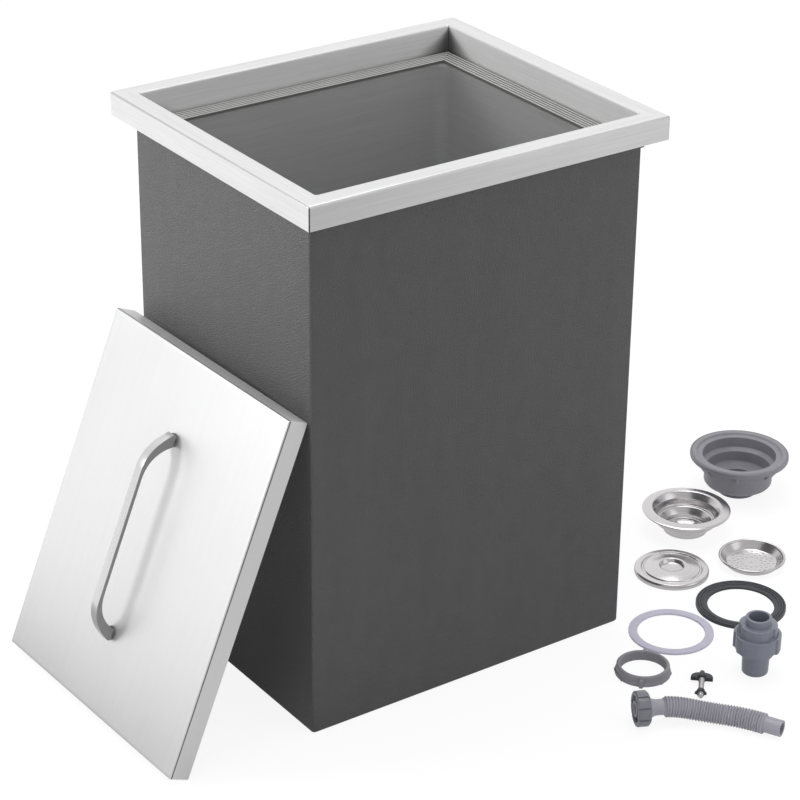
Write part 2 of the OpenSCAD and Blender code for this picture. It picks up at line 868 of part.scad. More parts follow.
module union_seal() {
    color([0.10, 0.10, 0.11])
    on_floor(union_at)
        translate([0, 0, union_seat_z + union_tail_t])
            tube(union_thread_d / 2 - 1.5, union_bore_d / 2, union_seal_t);
}

module union_top() {
    z_end = union_collar_z + collar_h + spigot_top;
    color(grey_plastic)
    on_floor(union_at)
    difference() {
        union() {
            translate([0, 0, union_face_z])
                cylinder(h = union_collar_z - union_face_z, d = union_thread_d);
            translate([0, 0, union_collar_z])
                cylinder(h = collar_h, d = collar_d);
            translate([0, 0, union_collar_z + collar_h - e])
                cylinder(h = spigot_top + e, d = spigot_d - 1);
        }
        translate([0, 0, union_face_z - 1])
            cylinder(h = z_end, d = union_bore_d);
        wide_grooves(collar_d / 2, union_collar_z - 1, collar_h + 0.5);
    }
}

// Three flats that part the broad lobes round the union's nut and collar.
module wide_grooves(r, low, h) {
    wide = 0.52 * r;
    for (i = [0 : 2])
        rotate([0, 0, union_flat_turn + i * 120])
            translate([r - 1.6, -wide / 2, low])
                cube([4, wide, h]);
}

// Narrow grooves that part the lobes round a nut of radius r.
module lobe_grooves(r, low, h, lobes) {
    for (i = [1 : lobes])
        rotate([0, 0, i * 360 / lobes])
            translate([r + 1.2, 0, low])
                cylinder(h = h, r = 1.9, $fn = 24);
}

module union_nut() {
    color([0.50, 0.50, 0.52])
    on_floor(union_at)
    translate([0, 0, union_nut_z])
    difference() {
        rotate_extrude()
            polygon([
                [union_neck_d / 2 - 4, 0], [union_nut_d / 2 - 1.5, 0], [union_nut_d / 2, 1.5],
                [union_nut_d / 2, union_nut_h - 1.2], [union_nut_d / 2 - 1.2, union_nut_h],
                [union_neck_d / 2 - 4, union_nut_h]
            ]);
        translate([0, 0, -1])
            cylinder(h = union_nut_h, d = union_neck_d);
        translate([0, 0, union_lip_t])
            cylinder(h = union_nut_h, d = union_thread_d + 2 * thread_gap);
        wide_grooves(union_nut_d / 2, -1, union_nut_h + 2);
    }
}

// Hose: one swept tube, straight at both ends, with a bore and raised ribs

module in_hose_frame() {
    translate([hose_at.x, hose_at.y, 0])
        rotate([0, 0, hose_turn])
            children();
}

hose_last = len(hose_points) - 1;
hose_steps = [for (k = [0 : hose_last - 1]) norm(hose_points[k + 1] - hose_points[k])];

// Length along the middle line up to point k.
function hose_at_point(k) = k == 0 ? 0 : hose_at_point(k - 1) + hose_steps[k - 1];

hose_marks = [for (k = [0 : hose_last]) hose_at_point(k)];
hose_len = hose_marks[hose_last];

function hose_mid(s) =
    let (
        i = max([for (k = [0 : hose_last - 1]) if (hose_marks[k] <= s) k]),
        u = (s - hose_marks[i]) / hose_steps[i]
    )
    hose_points[i] * (1 - u) + hose_points[i + 1] * u;

// The middle line again, averaged over a short stretch so that it bends smoothly.
function hose_line(s) =
    let (
        reach = max(0, min(6, s, hose_len - s)),
        w = [for (k = [-4 : 4]) hose_mid(s + k * reach / 4)]
    )
    [for (c = [0 : 2]) [for (p = w) p[c]] * [1, 1, 1, 1, 1, 1, 1, 1, 1] / 9];

// Where the hose's parts start and end along its length.
hose_cone_from = hose_nut_h + 0.3;
hose_cone_to = hose_cone_from + 4.7;
hose_ribs_from = hose_cone_to + 9;
hose_ribs_to = hose_len - 15;
hose_neck_d = 13.8;
hose_cone_d = 18.6;
hose_lip_d = 23.2;
hose_lip_from = 3;
hose_lip_t = 2.4;
hose_sides = 8;

function hose_rib_stations() = [
    for (i = [0 : hose_ribs - 1])
        let (p = (hose_ribs_to - hose_ribs_from) / hose_ribs, s = hose_ribs_from + i * p)
        each [[s + p * 0.1, hose_root_d / 2], [s + p * 0.5, hose_d / 2]]
];

function hose_profile() = concat(
    [
        [e, hose_neck_d / 2], [hose_lip_from - e, hose_neck_d / 2],
        [hose_lip_from, hose_lip_d / 2], [hose_lip_from + hose_lip_t, hose_lip_d / 2],
        [hose_lip_from + hose_lip_t + e, hose_cone_d / 2], [hose_cone_from, hose_cone_d / 2],
        [hose_cone_to, hose_neck_d / 2], [hose_ribs_from, hose_neck_d / 2]
    ],
    hose_rib_stations(),
    [
        [hose_ribs_to, hose_root_d / 2], [hose_ribs_to + 0.4, hose_neck_d / 2 + 0.3],
        [hose_len - e, hose_neck_d / 2 + 0.3]
    ]
);

function hose_ring(s, r) =
    let (
        p = hose_line(s),
        q = hose_line(min(s + 1, hose_len)) - hose_line(max(s - 1, 0)),
        t = q / norm(q),
        side = cross([0, 0, 1], t) / norm(cross([0, 0, 1], t)),
        up = cross(t, side)
    )
    [for (k = [0 : hose_sides - 1])
        let (a = 360 * k / hose_sides)
        p + side * r * cos(a) + up * r * sin(a)];

function ring_faces(count) = [
    for (j = [0 : count - 2], k = [0 : hose_sides - 1])
        let (a = j * hose_sides + k, b = j * hose_sides + (k + 1) % hose_sides)
        each [[a, b, a + hose_sides], [b, b + hose_sides, a + hose_sides]]
];

module hose() {
    outside = hose_profile();
    bore = [for (i = [0 : 23]) [hose_len - e - i * (hose_len - 2 * e) / 23, hose_bore_d / 2]];
    stations = concat(outside, bore);
    n = len(stations);
    last = (n - 1) * hose_sides;
    color([0.66, 0.65, 0.70])
    in_hose_frame()
    polyhedron(
        points = [for (st = stations) each hose_ring(st[0], st[1])],
        faces = concat(
            ring_faces(n),
            [for (k = [0 : hose_sides - 1])
                let (m = (k + 1) % hose_sides)
                each [[last + k, last + m, k], [last + m, m, k]]]
        )
    );
}

module hose_nut() {
    color([0.50, 0.50, 0.52])
    in_hose_frame()
    translate([0, 0, hose_points[0].z])
    rotate([0, 90, 0])
    difference() {
        rotate_extrude()
            polygon([
                [5, 0], [hose_nut_d / 2 - 1, 0], [hose_nut_d / 2, 1], [hose_nut_d / 2, hose_nut_h - 2],
                [hose_nut_d / 2 - 2, hose_nut_h], [5, hose_nut_h]
            ]);
        translate([0, 0, -1])
            cylinder(h = 1 + hose_lip_from + hose_lip_t + 0.3, d = hose_lip_d + 0.8);
        translate([0, 0, -1])
            cylinder(h = hose_nut_h + 2, d = hose_cone_d + 0.8);
        rotate([0, 0, 20])
            lobe_grooves(hose_nut_d / 2, -1, hose_nut_h + 2, 9);
    }
}

// Clamp bolt, lying on its side with its wings flat

bolt_axis_z = 4.2;

module along_bolt() {
    translate([bolt_at.x, bolt_at.y, bolt_axis_z])
        rotate([0, 0, fittings_turn])
            rotate([0, 90, 0])
                children();
}

module bolt_head() {
    color([0.12, 0.12, 0.13])
    along_bolt()
    difference() {
        union() {
            cylinder(h = wing_h - 3, r = bolt_axis_z);
            translate([0, 0, wing_h - 3 - e])
                cylinder(h = 3, r = 2.2);
            translate([2.2, 0, 0])
                rotate([0, -90, 0])
                    linear_extrude(4.4)
                        intersection() {
                            circle(wing_span / 2);
                            translate([0, -wing_span / 2])
                                square([wing_h - 3.5, wing_span]);
                        }
        }
        translate([0, 0, -1])
            cylinder(h = 7, d = stud_d, $fn = 32);
    }
}

module bolt_stud() {
    color(steel)
    along_bolt()
        translate([0, 0, -stud_len])
            cylinder(h = stud_len + 6, d = stud_d, $fn = 32);
}

module wing_nut() {
    color([0.12, 0.12, 0.13])
    along_bolt()
    translate([0, 0, -stud_len + 4])
    difference() {
        union() {
            cylinder(h = wing_nut_h, r = 3.6);
            translate([1, 0, 0])
                rotate([0, -90, 0])
                    linear_extrude(2)
                        intersection() {
                            scale([1, wing_nut_span / 2 / wing_nut_h])
                                circle(wing_nut_h);
                            translate([0, -wing_nut_span / 2])
                                square([wing_nut_h - 0.3, wing_nut_span]);
                        }
        }
        translate([0, 0, -1])
            cylinder(h = wing_nut_h + 2, d = stud_d + 2 * fit, $fn = 32);
    }
}

rim_frame();
ledge_strip_left();
ledge_strip_right();
ledge_strip_front();
ledge_strip_back();
tub_liner();
foam_core();
outer_jacket();
lid_top_pan();
lid_foam();
lid_bottom_pan();
lid_handle();
handle_feet();
handle_screws();
drain_body();
thread_insert();
drain_flange();
strainer();
plug_cover();
rubber_gasket();
slip_washer();
ring_nut();
union_top();
union_seal();
union_tail();
union_nut();
hose();
hose_nut();
bolt_head();
bolt_stud();
wing_nut();
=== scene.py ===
"""Drop-in ice bin with its lid and its loose drain fittings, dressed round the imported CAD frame."""

import math

import bmesh
import bpy
from bpy.props import FloatProperty, FloatVectorProperty, IntProperty, PointerProperty
from mathutils import Matrix, Vector


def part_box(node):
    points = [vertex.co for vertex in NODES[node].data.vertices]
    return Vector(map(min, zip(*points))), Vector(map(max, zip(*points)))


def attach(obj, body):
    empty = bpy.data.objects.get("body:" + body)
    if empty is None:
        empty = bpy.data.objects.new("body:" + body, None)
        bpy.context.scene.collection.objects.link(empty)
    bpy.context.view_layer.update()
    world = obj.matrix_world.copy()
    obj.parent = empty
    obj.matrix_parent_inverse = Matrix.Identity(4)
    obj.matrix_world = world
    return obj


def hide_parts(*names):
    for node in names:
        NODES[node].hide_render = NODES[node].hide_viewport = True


bl_info = {
    "name": "Drop-in ice bin",
    "version": (1, 0, 0),
    "blender": (4, 5, 0),
    "location": "View3D > Sidebar > Ice bin",
    "description": "Builds the finished surfaces of a drop-in ice bin and its drain fittings",
    "category": "Object",
}

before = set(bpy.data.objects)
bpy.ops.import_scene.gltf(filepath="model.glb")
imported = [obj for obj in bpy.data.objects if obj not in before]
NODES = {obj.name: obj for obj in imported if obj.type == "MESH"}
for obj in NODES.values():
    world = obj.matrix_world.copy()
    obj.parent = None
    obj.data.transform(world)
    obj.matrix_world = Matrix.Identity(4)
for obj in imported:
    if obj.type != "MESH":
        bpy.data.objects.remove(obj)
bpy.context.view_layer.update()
MM = 0.001

# The camera stands where the photograph was taken from.
VIEW_AZIMUTH = -35.1
VIEW_ELEVATION = 26.57
VIEW_ROLL = 0.57
VIEW_DISTANCE = 2.376
VIEW_TARGET = Vector((0.0155, 0.0, 0.2105))
VIEW_LENS = 121.3

# Lamps: name, place, aim, watts and width, in metres.
LAMPS = (
    ("Key", (-2.4, 1.2, 1.2), (0, 0, 0.25), 20, 0.6),
    ("Fill", (1.6, -2.6, 1.5), (0.05, 0, 0.2), 6, 1.8),
    ("Top", (0.1, 0.3, 2.8), (0, 0, 0.3), 29, 2.2),
)

# The floor's radius in metres and how many sides it has.
FLOOR_R = 9.0
FLOOR_SIDES = 48

# Turning marks on the drain's steel pieces, in millimetres.
TURNING_PITCH = 0.35
TURNING_DEPTH = 0.006

# Colours of small parts that have no setting of their own.
FOOT_COLOUR = (0.17, 0.17, 0.175)
SCREW_COLOUR = (0.6, 0.6, 0.6)

# Sizes in millimetres that the CAD source names too.
SHEET = 1.2
RIM_FLANGE = 18
RIM_BEND = 2
OPENING_R = 3
LEDGE_W = 19
LEDGE_T = 4
OVERHANG_X = 13
OVERHANG_Y = 19
JACKET_T = 2
BODY_BOTTOM_R = 3
TUB_SHEET = 1
TUB_CORNER_R = 12
TUB_COVE_R = 14
TUB_FLANGE = 10
TUB_FALL_R = 90
TUB_FALL = 3
SEAT_R = 43.5
SEAT_H = 2.5
DRAIN_HOLE_R = 30.25
WELL_R = 56
LID_W = 318
LID_D = 265
LID_T = 19
LID_SHEET = 1
LID_LEAN = 22.5
LID_TURN = 1.5
LID_OFFSET = 0
LEAN_GAP = 0.3
HANDLE_SPAN = 177
HANDLE_STRAIGHT = 120
HANDLE_W = 9.5
HANDLE_T = 3.5
HANDLE_FOOT = 9.5
HANDLE_H = 26.5
HANDLE_END_H = 3
HANDLE_FOOT_H = 1.5
HANDLE_FOOT_R = 6
FITTINGS_TURN = 47

# The jacket's upright edges are crisper than the CAD's, as the photograph shows them.
EDGE_R = 2.5

# The hose's middle line in its own frame on the floor, from its nut to its far end.
HOSE_POINTS = [
    (0, 0, 15.5), (10, 0, 15.5), (20, 0, 15.5), (27, 0, 15.4), (35, -0.3, 14.7), (43, -1, 13.4),
    (51, -2.3, 11.7), (59, -4.2, 10.3), (67, -6.7, 9.5), (75, -9.9, 9.2), (82.5, -13.3, 9.2),
    (90, -17.4, 9.2), (97, -21.9, 9.2), (103.5, -26.7, 9.2), (111, -32.6, 9.2), (118.5, -38.5, 9.2),
]

# Places, turns and sizes of the hose and the other loose fittings.
HOSE_AT = (70, -274)
HOSE_TURN = -25.6
HOSE_D = 18.4
HOSE_ROOT_D = 15.6
HOSE_BORE_D = 10.4
HOSE_NECK_D = 13.8
HOSE_RIBS_FROM = 26
HOSE_TAIL = 15
HOSE_STATIONS = 96
HOSE_SPREAD = 6
HOSE_NUT_H = 12
BOLT_AT = (160, -257)
BOLT_AXIS = 4.2
STUD_LEN = 27.5
STUD_R = 2.5
WING_SPAN = 19.5
WING_NUT_SPAN = 10.4
STRAINER_RINGS = (9.8, 13.4, 16, 18, 20.6)
STRAINER_HOLE_R = 1.1
SEAL_BORE_R = 30.5
RING_NUT_R = 24.75
UNION_GROOVE = -12


# Small geometry helpers, all in millimetres

def polar(r, deg, z=0.0):
    return Vector((r * math.cos(math.radians(deg)), r * math.sin(math.radians(deg)), z))


def soften(points, radius, steps=3):
    """Rounds the corners of a closed outline; a point may carry a radius of its own as a third number."""
    made = []
    for i, point in enumerate(points):
        own = point[2] if len(point) > 2 else radius
        here = Vector(point[:2])
        before = Vector(points[i - 1][:2]) - here
        after = Vector(points[(i + 1) % len(points)][:2]) - here
        cut = min(own, 0.45 * before.length, 0.45 * after.length)
        if here.x < 1e-6 or cut < 0.02:
            made.append(tuple(here))
            continue
        start = here + before.normalized() * cut
        end = here + after.normalized() * cut
        for k in range(steps + 1):
            t = k / steps
            made.append(tuple(start * (1 - t) ** 2 + here * 2 * t * (1 - t) + end * t * t))
    return made


def bridge(bm, lower, upper):
    """Faces between two rings of vertices; a ring of one vertex is a pole."""
    count = max(len(lower), len(upper))
    if count == 1:
        return
    for k in range(count):
        corners = [
            lower[k % len(lower)], lower[(k + 1) % len(lower)],
            upper[(k + 1) % len(upper)], upper[k % len(upper)],
        ]
        bm.faces.new(list(dict.fromkeys(corners)))


def loft(bm, rings):
    """A closed skin through rings of points, from the last back to the first."""
    made = [[bm.verts.new(p) for p in ring] for ring in rings]
    for lower, upper in zip(made, made[1:] + made[:1]):
        bridge(bm, lower, upper)


def shell(bm, rings):
    """An open skin through rings of points, with a flat face on its first and last ring."""
    made = [[bm.verts.new(p) for p in ring] for ring in rings]
    bm.faces.new(made[0])
    bm.faces.new(made[-1])
    for lower, upper in zip(made, made[1:]):
        bridge(bm, lower, upper)


def lathe(bm, outline, sides=96, radius=0.5):
    """A closed outline of radius and height, turned round the Z axis."""
    rings = []
    for r, z in soften(outline, radius):
        if r < 1e-6:
            rings.append([(0, 0, z)])
        else:
            rings.append([polar(r, 360 * k / sides, z) for k in range(sides)])
    loft(bm, rings)


def oblong(w, d, r, z, corner=6, side=12):
    """Points round a rectangle with rounded corners."""
    ring = []
    corners = [(1, 1), (-1, 1), (-1, -1), (1, -1)]
    for k, (sx, sy) in enumerate(corners):
        middle = Vector((sx * (w / 2 - r), sy * (d / 2 - r), z))
        arc = [middle + polar(r, 90 * k + 90 * i / corner) for i in range(corner + 1)]
        nx, ny = corners[(k + 1) % 4]
        end = Vector((nx * (w / 2 - r), ny * (d / 2 - r), z)) + polar(r, 90 * k + 90)
        ring += arc
        ring += [arc[-1].lerp(end, i / side) for i in range(1, side)]
    return ring


def round_ring(r, z, corner=6, side=12):
    """A circle with as many points as an oblong ring, in step with its corners."""
    count = 4 * (corner + side)
    return [polar(r, 45 + (i - corner / 2) * 360 / count, z) for i in range(count)]


def side_prism(bm, outline, width):
    """An outline in X and Z, made a solid of that width along Y."""
    near = [bm.verts.new((x, -width / 2, z)) for x, z in outline]
    far = [bm.verts.new((x, width / 2, z)) for x, z in outline]
    bm.faces.new(near)
    bm.faces.new(list(reversed(far)))
    bridge(bm, near, far)


def plate(bm, outline, low, high):
    """An outline in X and Y, made a solid from low to high."""
    under = [bm.verts.new((x, y, low)) for x, y in outline]
    over = [bm.verts.new((x, y, high)) for x, y in outline]
    bm.faces.new(under)
    bm.faces.new(list(reversed(over)))
    bridge(bm, under, over)


def turned_round(circle, sides=8, start=0.0, end=90.0):
    """Points on an arc from the start angle to the end angle; a circle is its middle and its radius."""
    x, y, r = circle
    return [
        (x + r * math.cos(math.radians(start + (end - start) * k / sides)),
         y + r * math.sin(math.radians(start + (end - start) * k / sides)))
        for k in range(sides + 1)
    ]


def bend(start, corner, end, steps):
    """Points on the curve that leaves start towards corner and comes to end from corner."""
    a, b, c = Vector(start), Vector(corner), Vector(end)
    shares = [k / steps for k in range(steps + 1)]
    return [tuple(a * (1 - t) ** 2 + b * 2 * t * (1 - t) + c * t * t) for t in shares]


def map_brushing(bm, along):
    """Writes a UV map in millimetres whose U runs with the brushing that along() gives for a face."""
    layer = bm.loops.layers.uv.new("Brush")
    bm.normal_update()
    for face in bm.faces:
        run = Vector(along(face.normal, face.calc_center_median()))
        across = face.normal.cross(run)
        if across.length < 0.3:
            across = face.normal.orthogonal()
            run = across.cross(face.normal)
        for corner in face.loops:
            corner[layer].uv = (corner.vert.co.dot(run), corner.vert.co.dot(across.normalized()))


def round_the_walls(normal, middle):
    """Brushing along Y on walls that face X, and along X on every other face."""
    return (0, 1, 0) if abs(normal.x) > max(abs(normal.y), abs(normal.z)) else (1, 0, 0)


def map_points(bm, name, value):
    """Writes a map of one number a point: the painted-shade map is 1 deep in a seam, Satin is 1 where steel
    is dull.
    """
    layer = bm.verts.layers.float.new(name)
    for point in bm.verts:
        point[layer] = value(point.co)


def box_mm(node):
    """Lowest and highest corner of a CAD node, in millimetres."""
    low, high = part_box(node)
    return low / MM, high / MM


def radius_of(node):
    low, high = box_mm(node)
    return (high.x - low.x) / 2


def turn_by(degrees, axis="Z"):
    return Matrix.Rotation(math.radians(degrees), 4, axis)


def stand(node):
    """The place of a loose fitting that stands upright on the floor."""
    low, high = box_mm(node)
    middle = (low + high) / 2
    return Matrix.Translation((middle.x, middle.y, low.z)) @ turn_by(FITTINGS_TURN)


def ease_edges(bm, offset, segments=2, over=None):
    """Rounds every edge, or only the edges that fold by more than so many degrees."""
    some = over is not None
    edges = [e for e in bm.edges if e.calc_face_angle() > math.radians(over)] if some else bm.edges[:]
    bmesh.ops.bevel(
        bm, geom=edges, offset=offset, segments=segments, profile=0.6, affect="EDGES", clamp_overlap=some,
    )


def new_piece(name, bm, place=None, keep_sharp=32):
    """A mesh object in metres with its place in its mesh and its faces smooth between sharp folds."""
    bmesh.ops.remove_doubles(bm, verts=bm.verts, dist=0.0005)
    bmesh.ops.recalc_face_normals(bm, faces=bm.faces)
    bm.transform(Matrix.Scale(MM, 4) @ (place or Matrix.Identity(4)))
    mesh = bpy.data.meshes.new(name)
    bm.to_mesh(mesh)
    bm.free()
    mesh.shade_smooth()
    mesh.set_sharp_from_angle(angle=math.radians(keep_sharp))
    made = bpy.data.objects.new(name, mesh)
    bpy.context.scene.collection.objects.link(made)
    return made


def settle(piece, material, body, slot, *nodes):
    """Gives a finished piece its material and body and hides the CAD nodes that it stands for; the slot is
    not used.
    """
    piece.data.materials.clear()
    piece.data.materials.append(material)
    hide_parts(*nodes)
    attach(piece, body)
    return piece


# Shader maths

class Value:
    """A socket of a node tree that takes part in plain arithmetic."""

    def __init__(self, net, socket):
        self.net = net
        self.socket = socket

    def sum_of(self, operation, *terms):
        return self.net.node("ShaderNodeMath", {"operation": operation}, dict(enumerate(terms)))

    def __add__(self, other):
        return self.sum_of("ADD", self, other)

    def __sub__(self, other):
        return self.sum_of("SUBTRACT", self, other)

    def __rsub__(self, other):
        return self.sum_of("SUBTRACT", other, self)

    def __mul__(self, other):
        return self.sum_of("MULTIPLY", self, other)

    def __truediv__(self, other):
        return self.sum_of("DIVIDE", self, other)

    def __rtruediv__(self, other):
        return self.sum_of("DIVIDE", other, self)

    def __pow__(self, other):
        return self.sum_of("POWER", self, other)

    def __gt__(self, other):
        return self.sum_of("GREATER_THAN", self, other)

    def __lt__(self, other):
        return self.sum_of("LESS_THAN", self, other)

    __radd__ = __add__
    __rmul__ = __mul__

    def most(self, other):
        return self.sum_of("MAXIMUM", self, other)

    def sine(self):
        return self.sum_of("SINE", self)

    def cosine(self):
        return self.sum_of("COSINE", self)

    def rounded(self):
        return self.sum_of("ROUND", self)

    def angle_from(self, x):
        """The angle whose rise is this value and whose run is x."""
        return self.sum_of("ARCTAN2", self, x)

    def ramp(self, low, high):
        """0 at low and 1 at high, with smooth ends."""
        return self.net.node(
            "ShaderNodeMapRange", {"interpolation_type": "SMOOTHSTEP"},
            {"Value": self, "From Min": low, "From Max": high},
        )


class Network:
    """A node tree written as expressions on its sockets."""

    def __init__(self, tree):
        self.nodes = tree.nodes
        self.links = tree.links

    def node(self, kind, settings, sockets, output=0):
        made = self.nodes.new(kind)
        for key, value in settings.items():
            setattr(made, key, value)
        for key, value in sockets.items():
            self.feed(made.inputs[key], value)
        return Value(self, made.outputs[output]) if made.outputs else None

    def feed(self, socket, value):
        if isinstance(value, Value):
            self.links.new(value.socket, socket)
        elif isinstance(value, (int, float)) and socket.type == "VECTOR":
            socket.default_value = (value, value, value)
        elif not isinstance(value, (int, float)) and socket.type == "RGBA":
            socket.default_value = (*value[:3], 1)
        else:
            socket.default_value = value

    def parts(self, vector):
        """The three numbers of a vector."""
        first = self.node("ShaderNodeSeparateXYZ", {}, {0: vector})
        return [Value(self, s) for s in first.socket.node.outputs]

    def joined(self, x, y, z):
        return self.node("ShaderNodeCombineXYZ", {}, {0: x, 1: y, 2: z})

    def vectors(self, operation, first, second):
        return self.node("ShaderNodeVectorMath", {"operation": operation}, {0: first, 1: second})

    def rays(self, *kinds):
        """1 for rays of any of these kinds."""
        path = self.node("ShaderNodeLightPath", {}, {}).socket.node.outputs
        found = Value(self, path[kinds[0]])
        for kind in kinds[1:]:
            found = found.most(Value(self, path[kind]))
        return found


class Paint(Network):
    """One procedural material."""

    def __init__(self, name):
        self.material = bpy.data.materials.new(name)
        self.material.use_nodes = True
        self.material.node_tree.nodes.clear()
        super().__init__(self.material.node_tree)

    def place(self):
        """Object coordinates, in metres."""
        return self.node("ShaderNodeTexCoord", {}, {}, "Object")

    def brushing(self):
        """The piece's own map along and across its brushing, in millimetres."""
        return self.node("ShaderNodeUVMap", {"uv_map": "Brush"}, {})

    def scaled(self, vector, scale, shift=(0, 0, 0)):
        return self.node(
            "ShaderNodeMapping", {"vector_type": "POINT"},
            {"Vector": vector, "Scale": scale, "Location": shift},
        )

    def noise(self, vector, scale, detail=2.0, rough=0.5):
        """Noise from 0 to 1 at so many cycles a unit, one number or one for each axis."""
        if not isinstance(scale, (int, float)):
            vector, scale = self.scaled(vector, scale), 1.0
        return self.node(
            "ShaderNodeTexNoise", {},
            {"Vector": vector, "Scale": scale, "Detail": detail, "Roughness": rough},
        )

    def drift(self, along):
        """Noise from 0 to 1 along one number."""
        return self.node(
            "ShaderNodeTexNoise", {"noise_dimensions": "1D"}, {"W": along, "Scale": 1.0, "Detail": 3.0},
        )

    def cells(self, vector, scale, feature="F1"):
        return self.node("ShaderNodeTexVoronoi", {"feature": feature}, {"Vector": vector, "Scale": scale})

    def blend(self, share, first, second):
        """A colour between two colours."""
        return self.node(
            "ShaderNodeMix", {"data_type": "RGBA", "clamp_factor": True}, {0: share, 6: first, 7: second}, 2,
        )

    def own(self, name):
        """The piece's own map of that name, or 0 where it has none."""
        return self.node("ShaderNodeAttribute", {"attribute_name": name}, {}, "Fac")

    def paint_in_shade(self, colour):
        """Darkens a colour by the piece's painted-shade map, which paints shade into seams, grooves, folds
        and the handle's sides.
        """
        return self.blend(self.own("PaintedShade") * 0.9, colour, (0.02, 0.02, 0.02))

    def bump(self, height, distance):
        return self.node("ShaderNodeBump", {}, {"Height": height, "Distance": distance, "Strength": 1.0})

    def surface(self, colour, roughness, normal=None, **fixed):
        """Ends the material in one Principled shader and returns the material."""
        sockets = {"Base Color": colour, "Roughness": roughness}
        sockets.update({key.replace("_", " ").title().replace("Ior", "IOR"): v for key, v in fixed.items()})
        if normal is not None:
            sockets["Normal"] = normal
        shader = self.node("ShaderNodeBsdfPrincipled", {}, sockets)
        self.node("ShaderNodeOutputMaterial", {}, {"Surface": shader})
        return self.material


# Finishes

def shade(colour, share):
    return tuple(min(1.0, c * share) for c in colour)


def brushed_steel(name, colour, roughness, depth=1.0, metal=0.7, opening=None):
    """Sheet steel with long brush marks; round an opening, painted shade darkens the walls towards its
    corners.
    """
    p = Paint(name)
    at = p.brushing()
    marks = p.noise(at, (0.012, 1.3, 1), 4, 0.65)
    hairs = p.noise(at, (0.04, 4.5, 1), 2, 0.6)
    bands = p.noise(at, (0.004, 0.16, 1), 2)
    cloud = p.noise(p.place(), 9, 2)
    tone = marks * 0.55 + hairs * 0.25 + bands * 0.2
    base = p.blend(tone.ramp(0.3, 0.72), shade(colour, 1 - 0.16 * depth), shade(colour, 1 + 0.05 * depth))
    rough = (marks - 0.5) * (0.16 * depth) + (cloud - 0.5) * 0.08 + roughness
    relief = p.bump(marks * 0.6 + hairs * 0.4, 0.00003 * depth)
    if opening:
        half_w, half_d, top, low = opening
        # Painted shade: the opening's walls darken towards their upright corners, over a wider reach lower
        # down.
        x, y, z = p.parts(p.place())
        reach = z.ramp(top, low) * 0.045 + 0.0015
        across = (x * x) ** 0.5 + reach - half_w
        along = (y * y) ** 0.5 + reach - half_d
        corner = across.ramp(0.0, reach) * along.ramp(0.0, reach) * (p.own("Satin") > 0.1)
        base = p.blend(corner * 0.9, base, shade(colour, 0.05))
    return p.surface(p.paint_in_shade(base), rough, relief, metallic=(1 - p.own("Satin")) * metal)


def turned_steel(name, node, colour, roughness):
    """Steel turned on a lathe: fine rings round the piece's own middle, which draw reflections into rays."""
    low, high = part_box(node)
    middle = (low + high) / 2
    p = Paint(name)
    at = p.scaled(p.place(), (1, 1, 1), (-middle.x, -middle.y, 0))
    x, y, z = p.parts(at)
    out = (x * x + y * y) ** 0.5 / MM
    wobble = p.noise(at, 60, 2)
    rings = (out * (2 * math.pi / TURNING_PITCH) + z * 900).sine() * 0.5 + 0.5
    drift = p.drift(out * 1.7 + z * 400)
    base = p.blend(drift.ramp(0.3, 0.7), shade(colour, 0.86), shade(colour, 1.04))
    rough = (drift - 0.5) * 0.1 + (wobble - 0.5) * 0.06 + roughness
    relief = p.bump(rings * 0.5 + drift * 0.5, TURNING_DEPTH * MM)
    return p.surface(base, rough, relief, metallic=1.0, anisotropic=0.5)


def moulded(name, colour, roughness, grain=900, depth=0.01, mottle=0.1, **fixed):
    """Moulded plastic or rubber with a fine skin and slight flow marks, or metal with the same skin."""
    p = Paint(name)
    at = p.place()
    skin = p.noise(at, grain, 3, 0.6)
    flow = p.noise(at, (70, 70, 25), 3)
    tone = flow * 0.7 + skin * 0.3
    base = p.blend(tone.ramp(0.3, 0.7), shade(colour, 1 - mottle), shade(colour, 1 + mottle))
    rough = (flow - 0.5) * 0.12 + (skin - 0.5) * 0.1 + roughness
    return p.surface(p.paint_in_shade(base), rough, p.bump(skin, depth * MM), **fixed)


def leather_grain(name, colour, roughness):
    """Black jacket skin: fine pebbles with wandering creases, uneven in tone along its height."""
    p = Paint(name)
    at = p.place()
    pebble = p.cells(at, 1050, "SMOOTH_F1")
    crease = p.noise(at, 950, 3, 0.6)
    blotch = p.noise(at, (90, 90, 50), 3)
    streak = p.noise(at, (30, 30, 5), 3)
    cloud = p.noise(at, 7, 3)
    tone = streak * 0.25 + blotch * 0.25 + cloud * 0.15 + crease * 0.35
    base = p.blend(tone.ramp(0.38, 0.62), shade(colour, 0.84), shade(colour, 1.16))
    rough = (crease - 0.5) * 0.25 + (cloud - 0.5) * 0.08 + roughness
    height = (1 - pebble) * 0.65 + crease * 0.35
    return p.surface(base, rough, p.bump(height, 0.001), ior=1.9)


def foam_cells(name, colour):
    """Closed-cell foam, seen only where the model is taken apart."""
    p = Paint(name)
    bubbles = p.cells(p.place(), 700)
    base = p.blend(bubbles.ramp(0.1, 0.6), shade(colour, 0.86), colour)
    return p.surface(base, 0.9, p.bump(bubbles, 0.0002))


# What a user may change

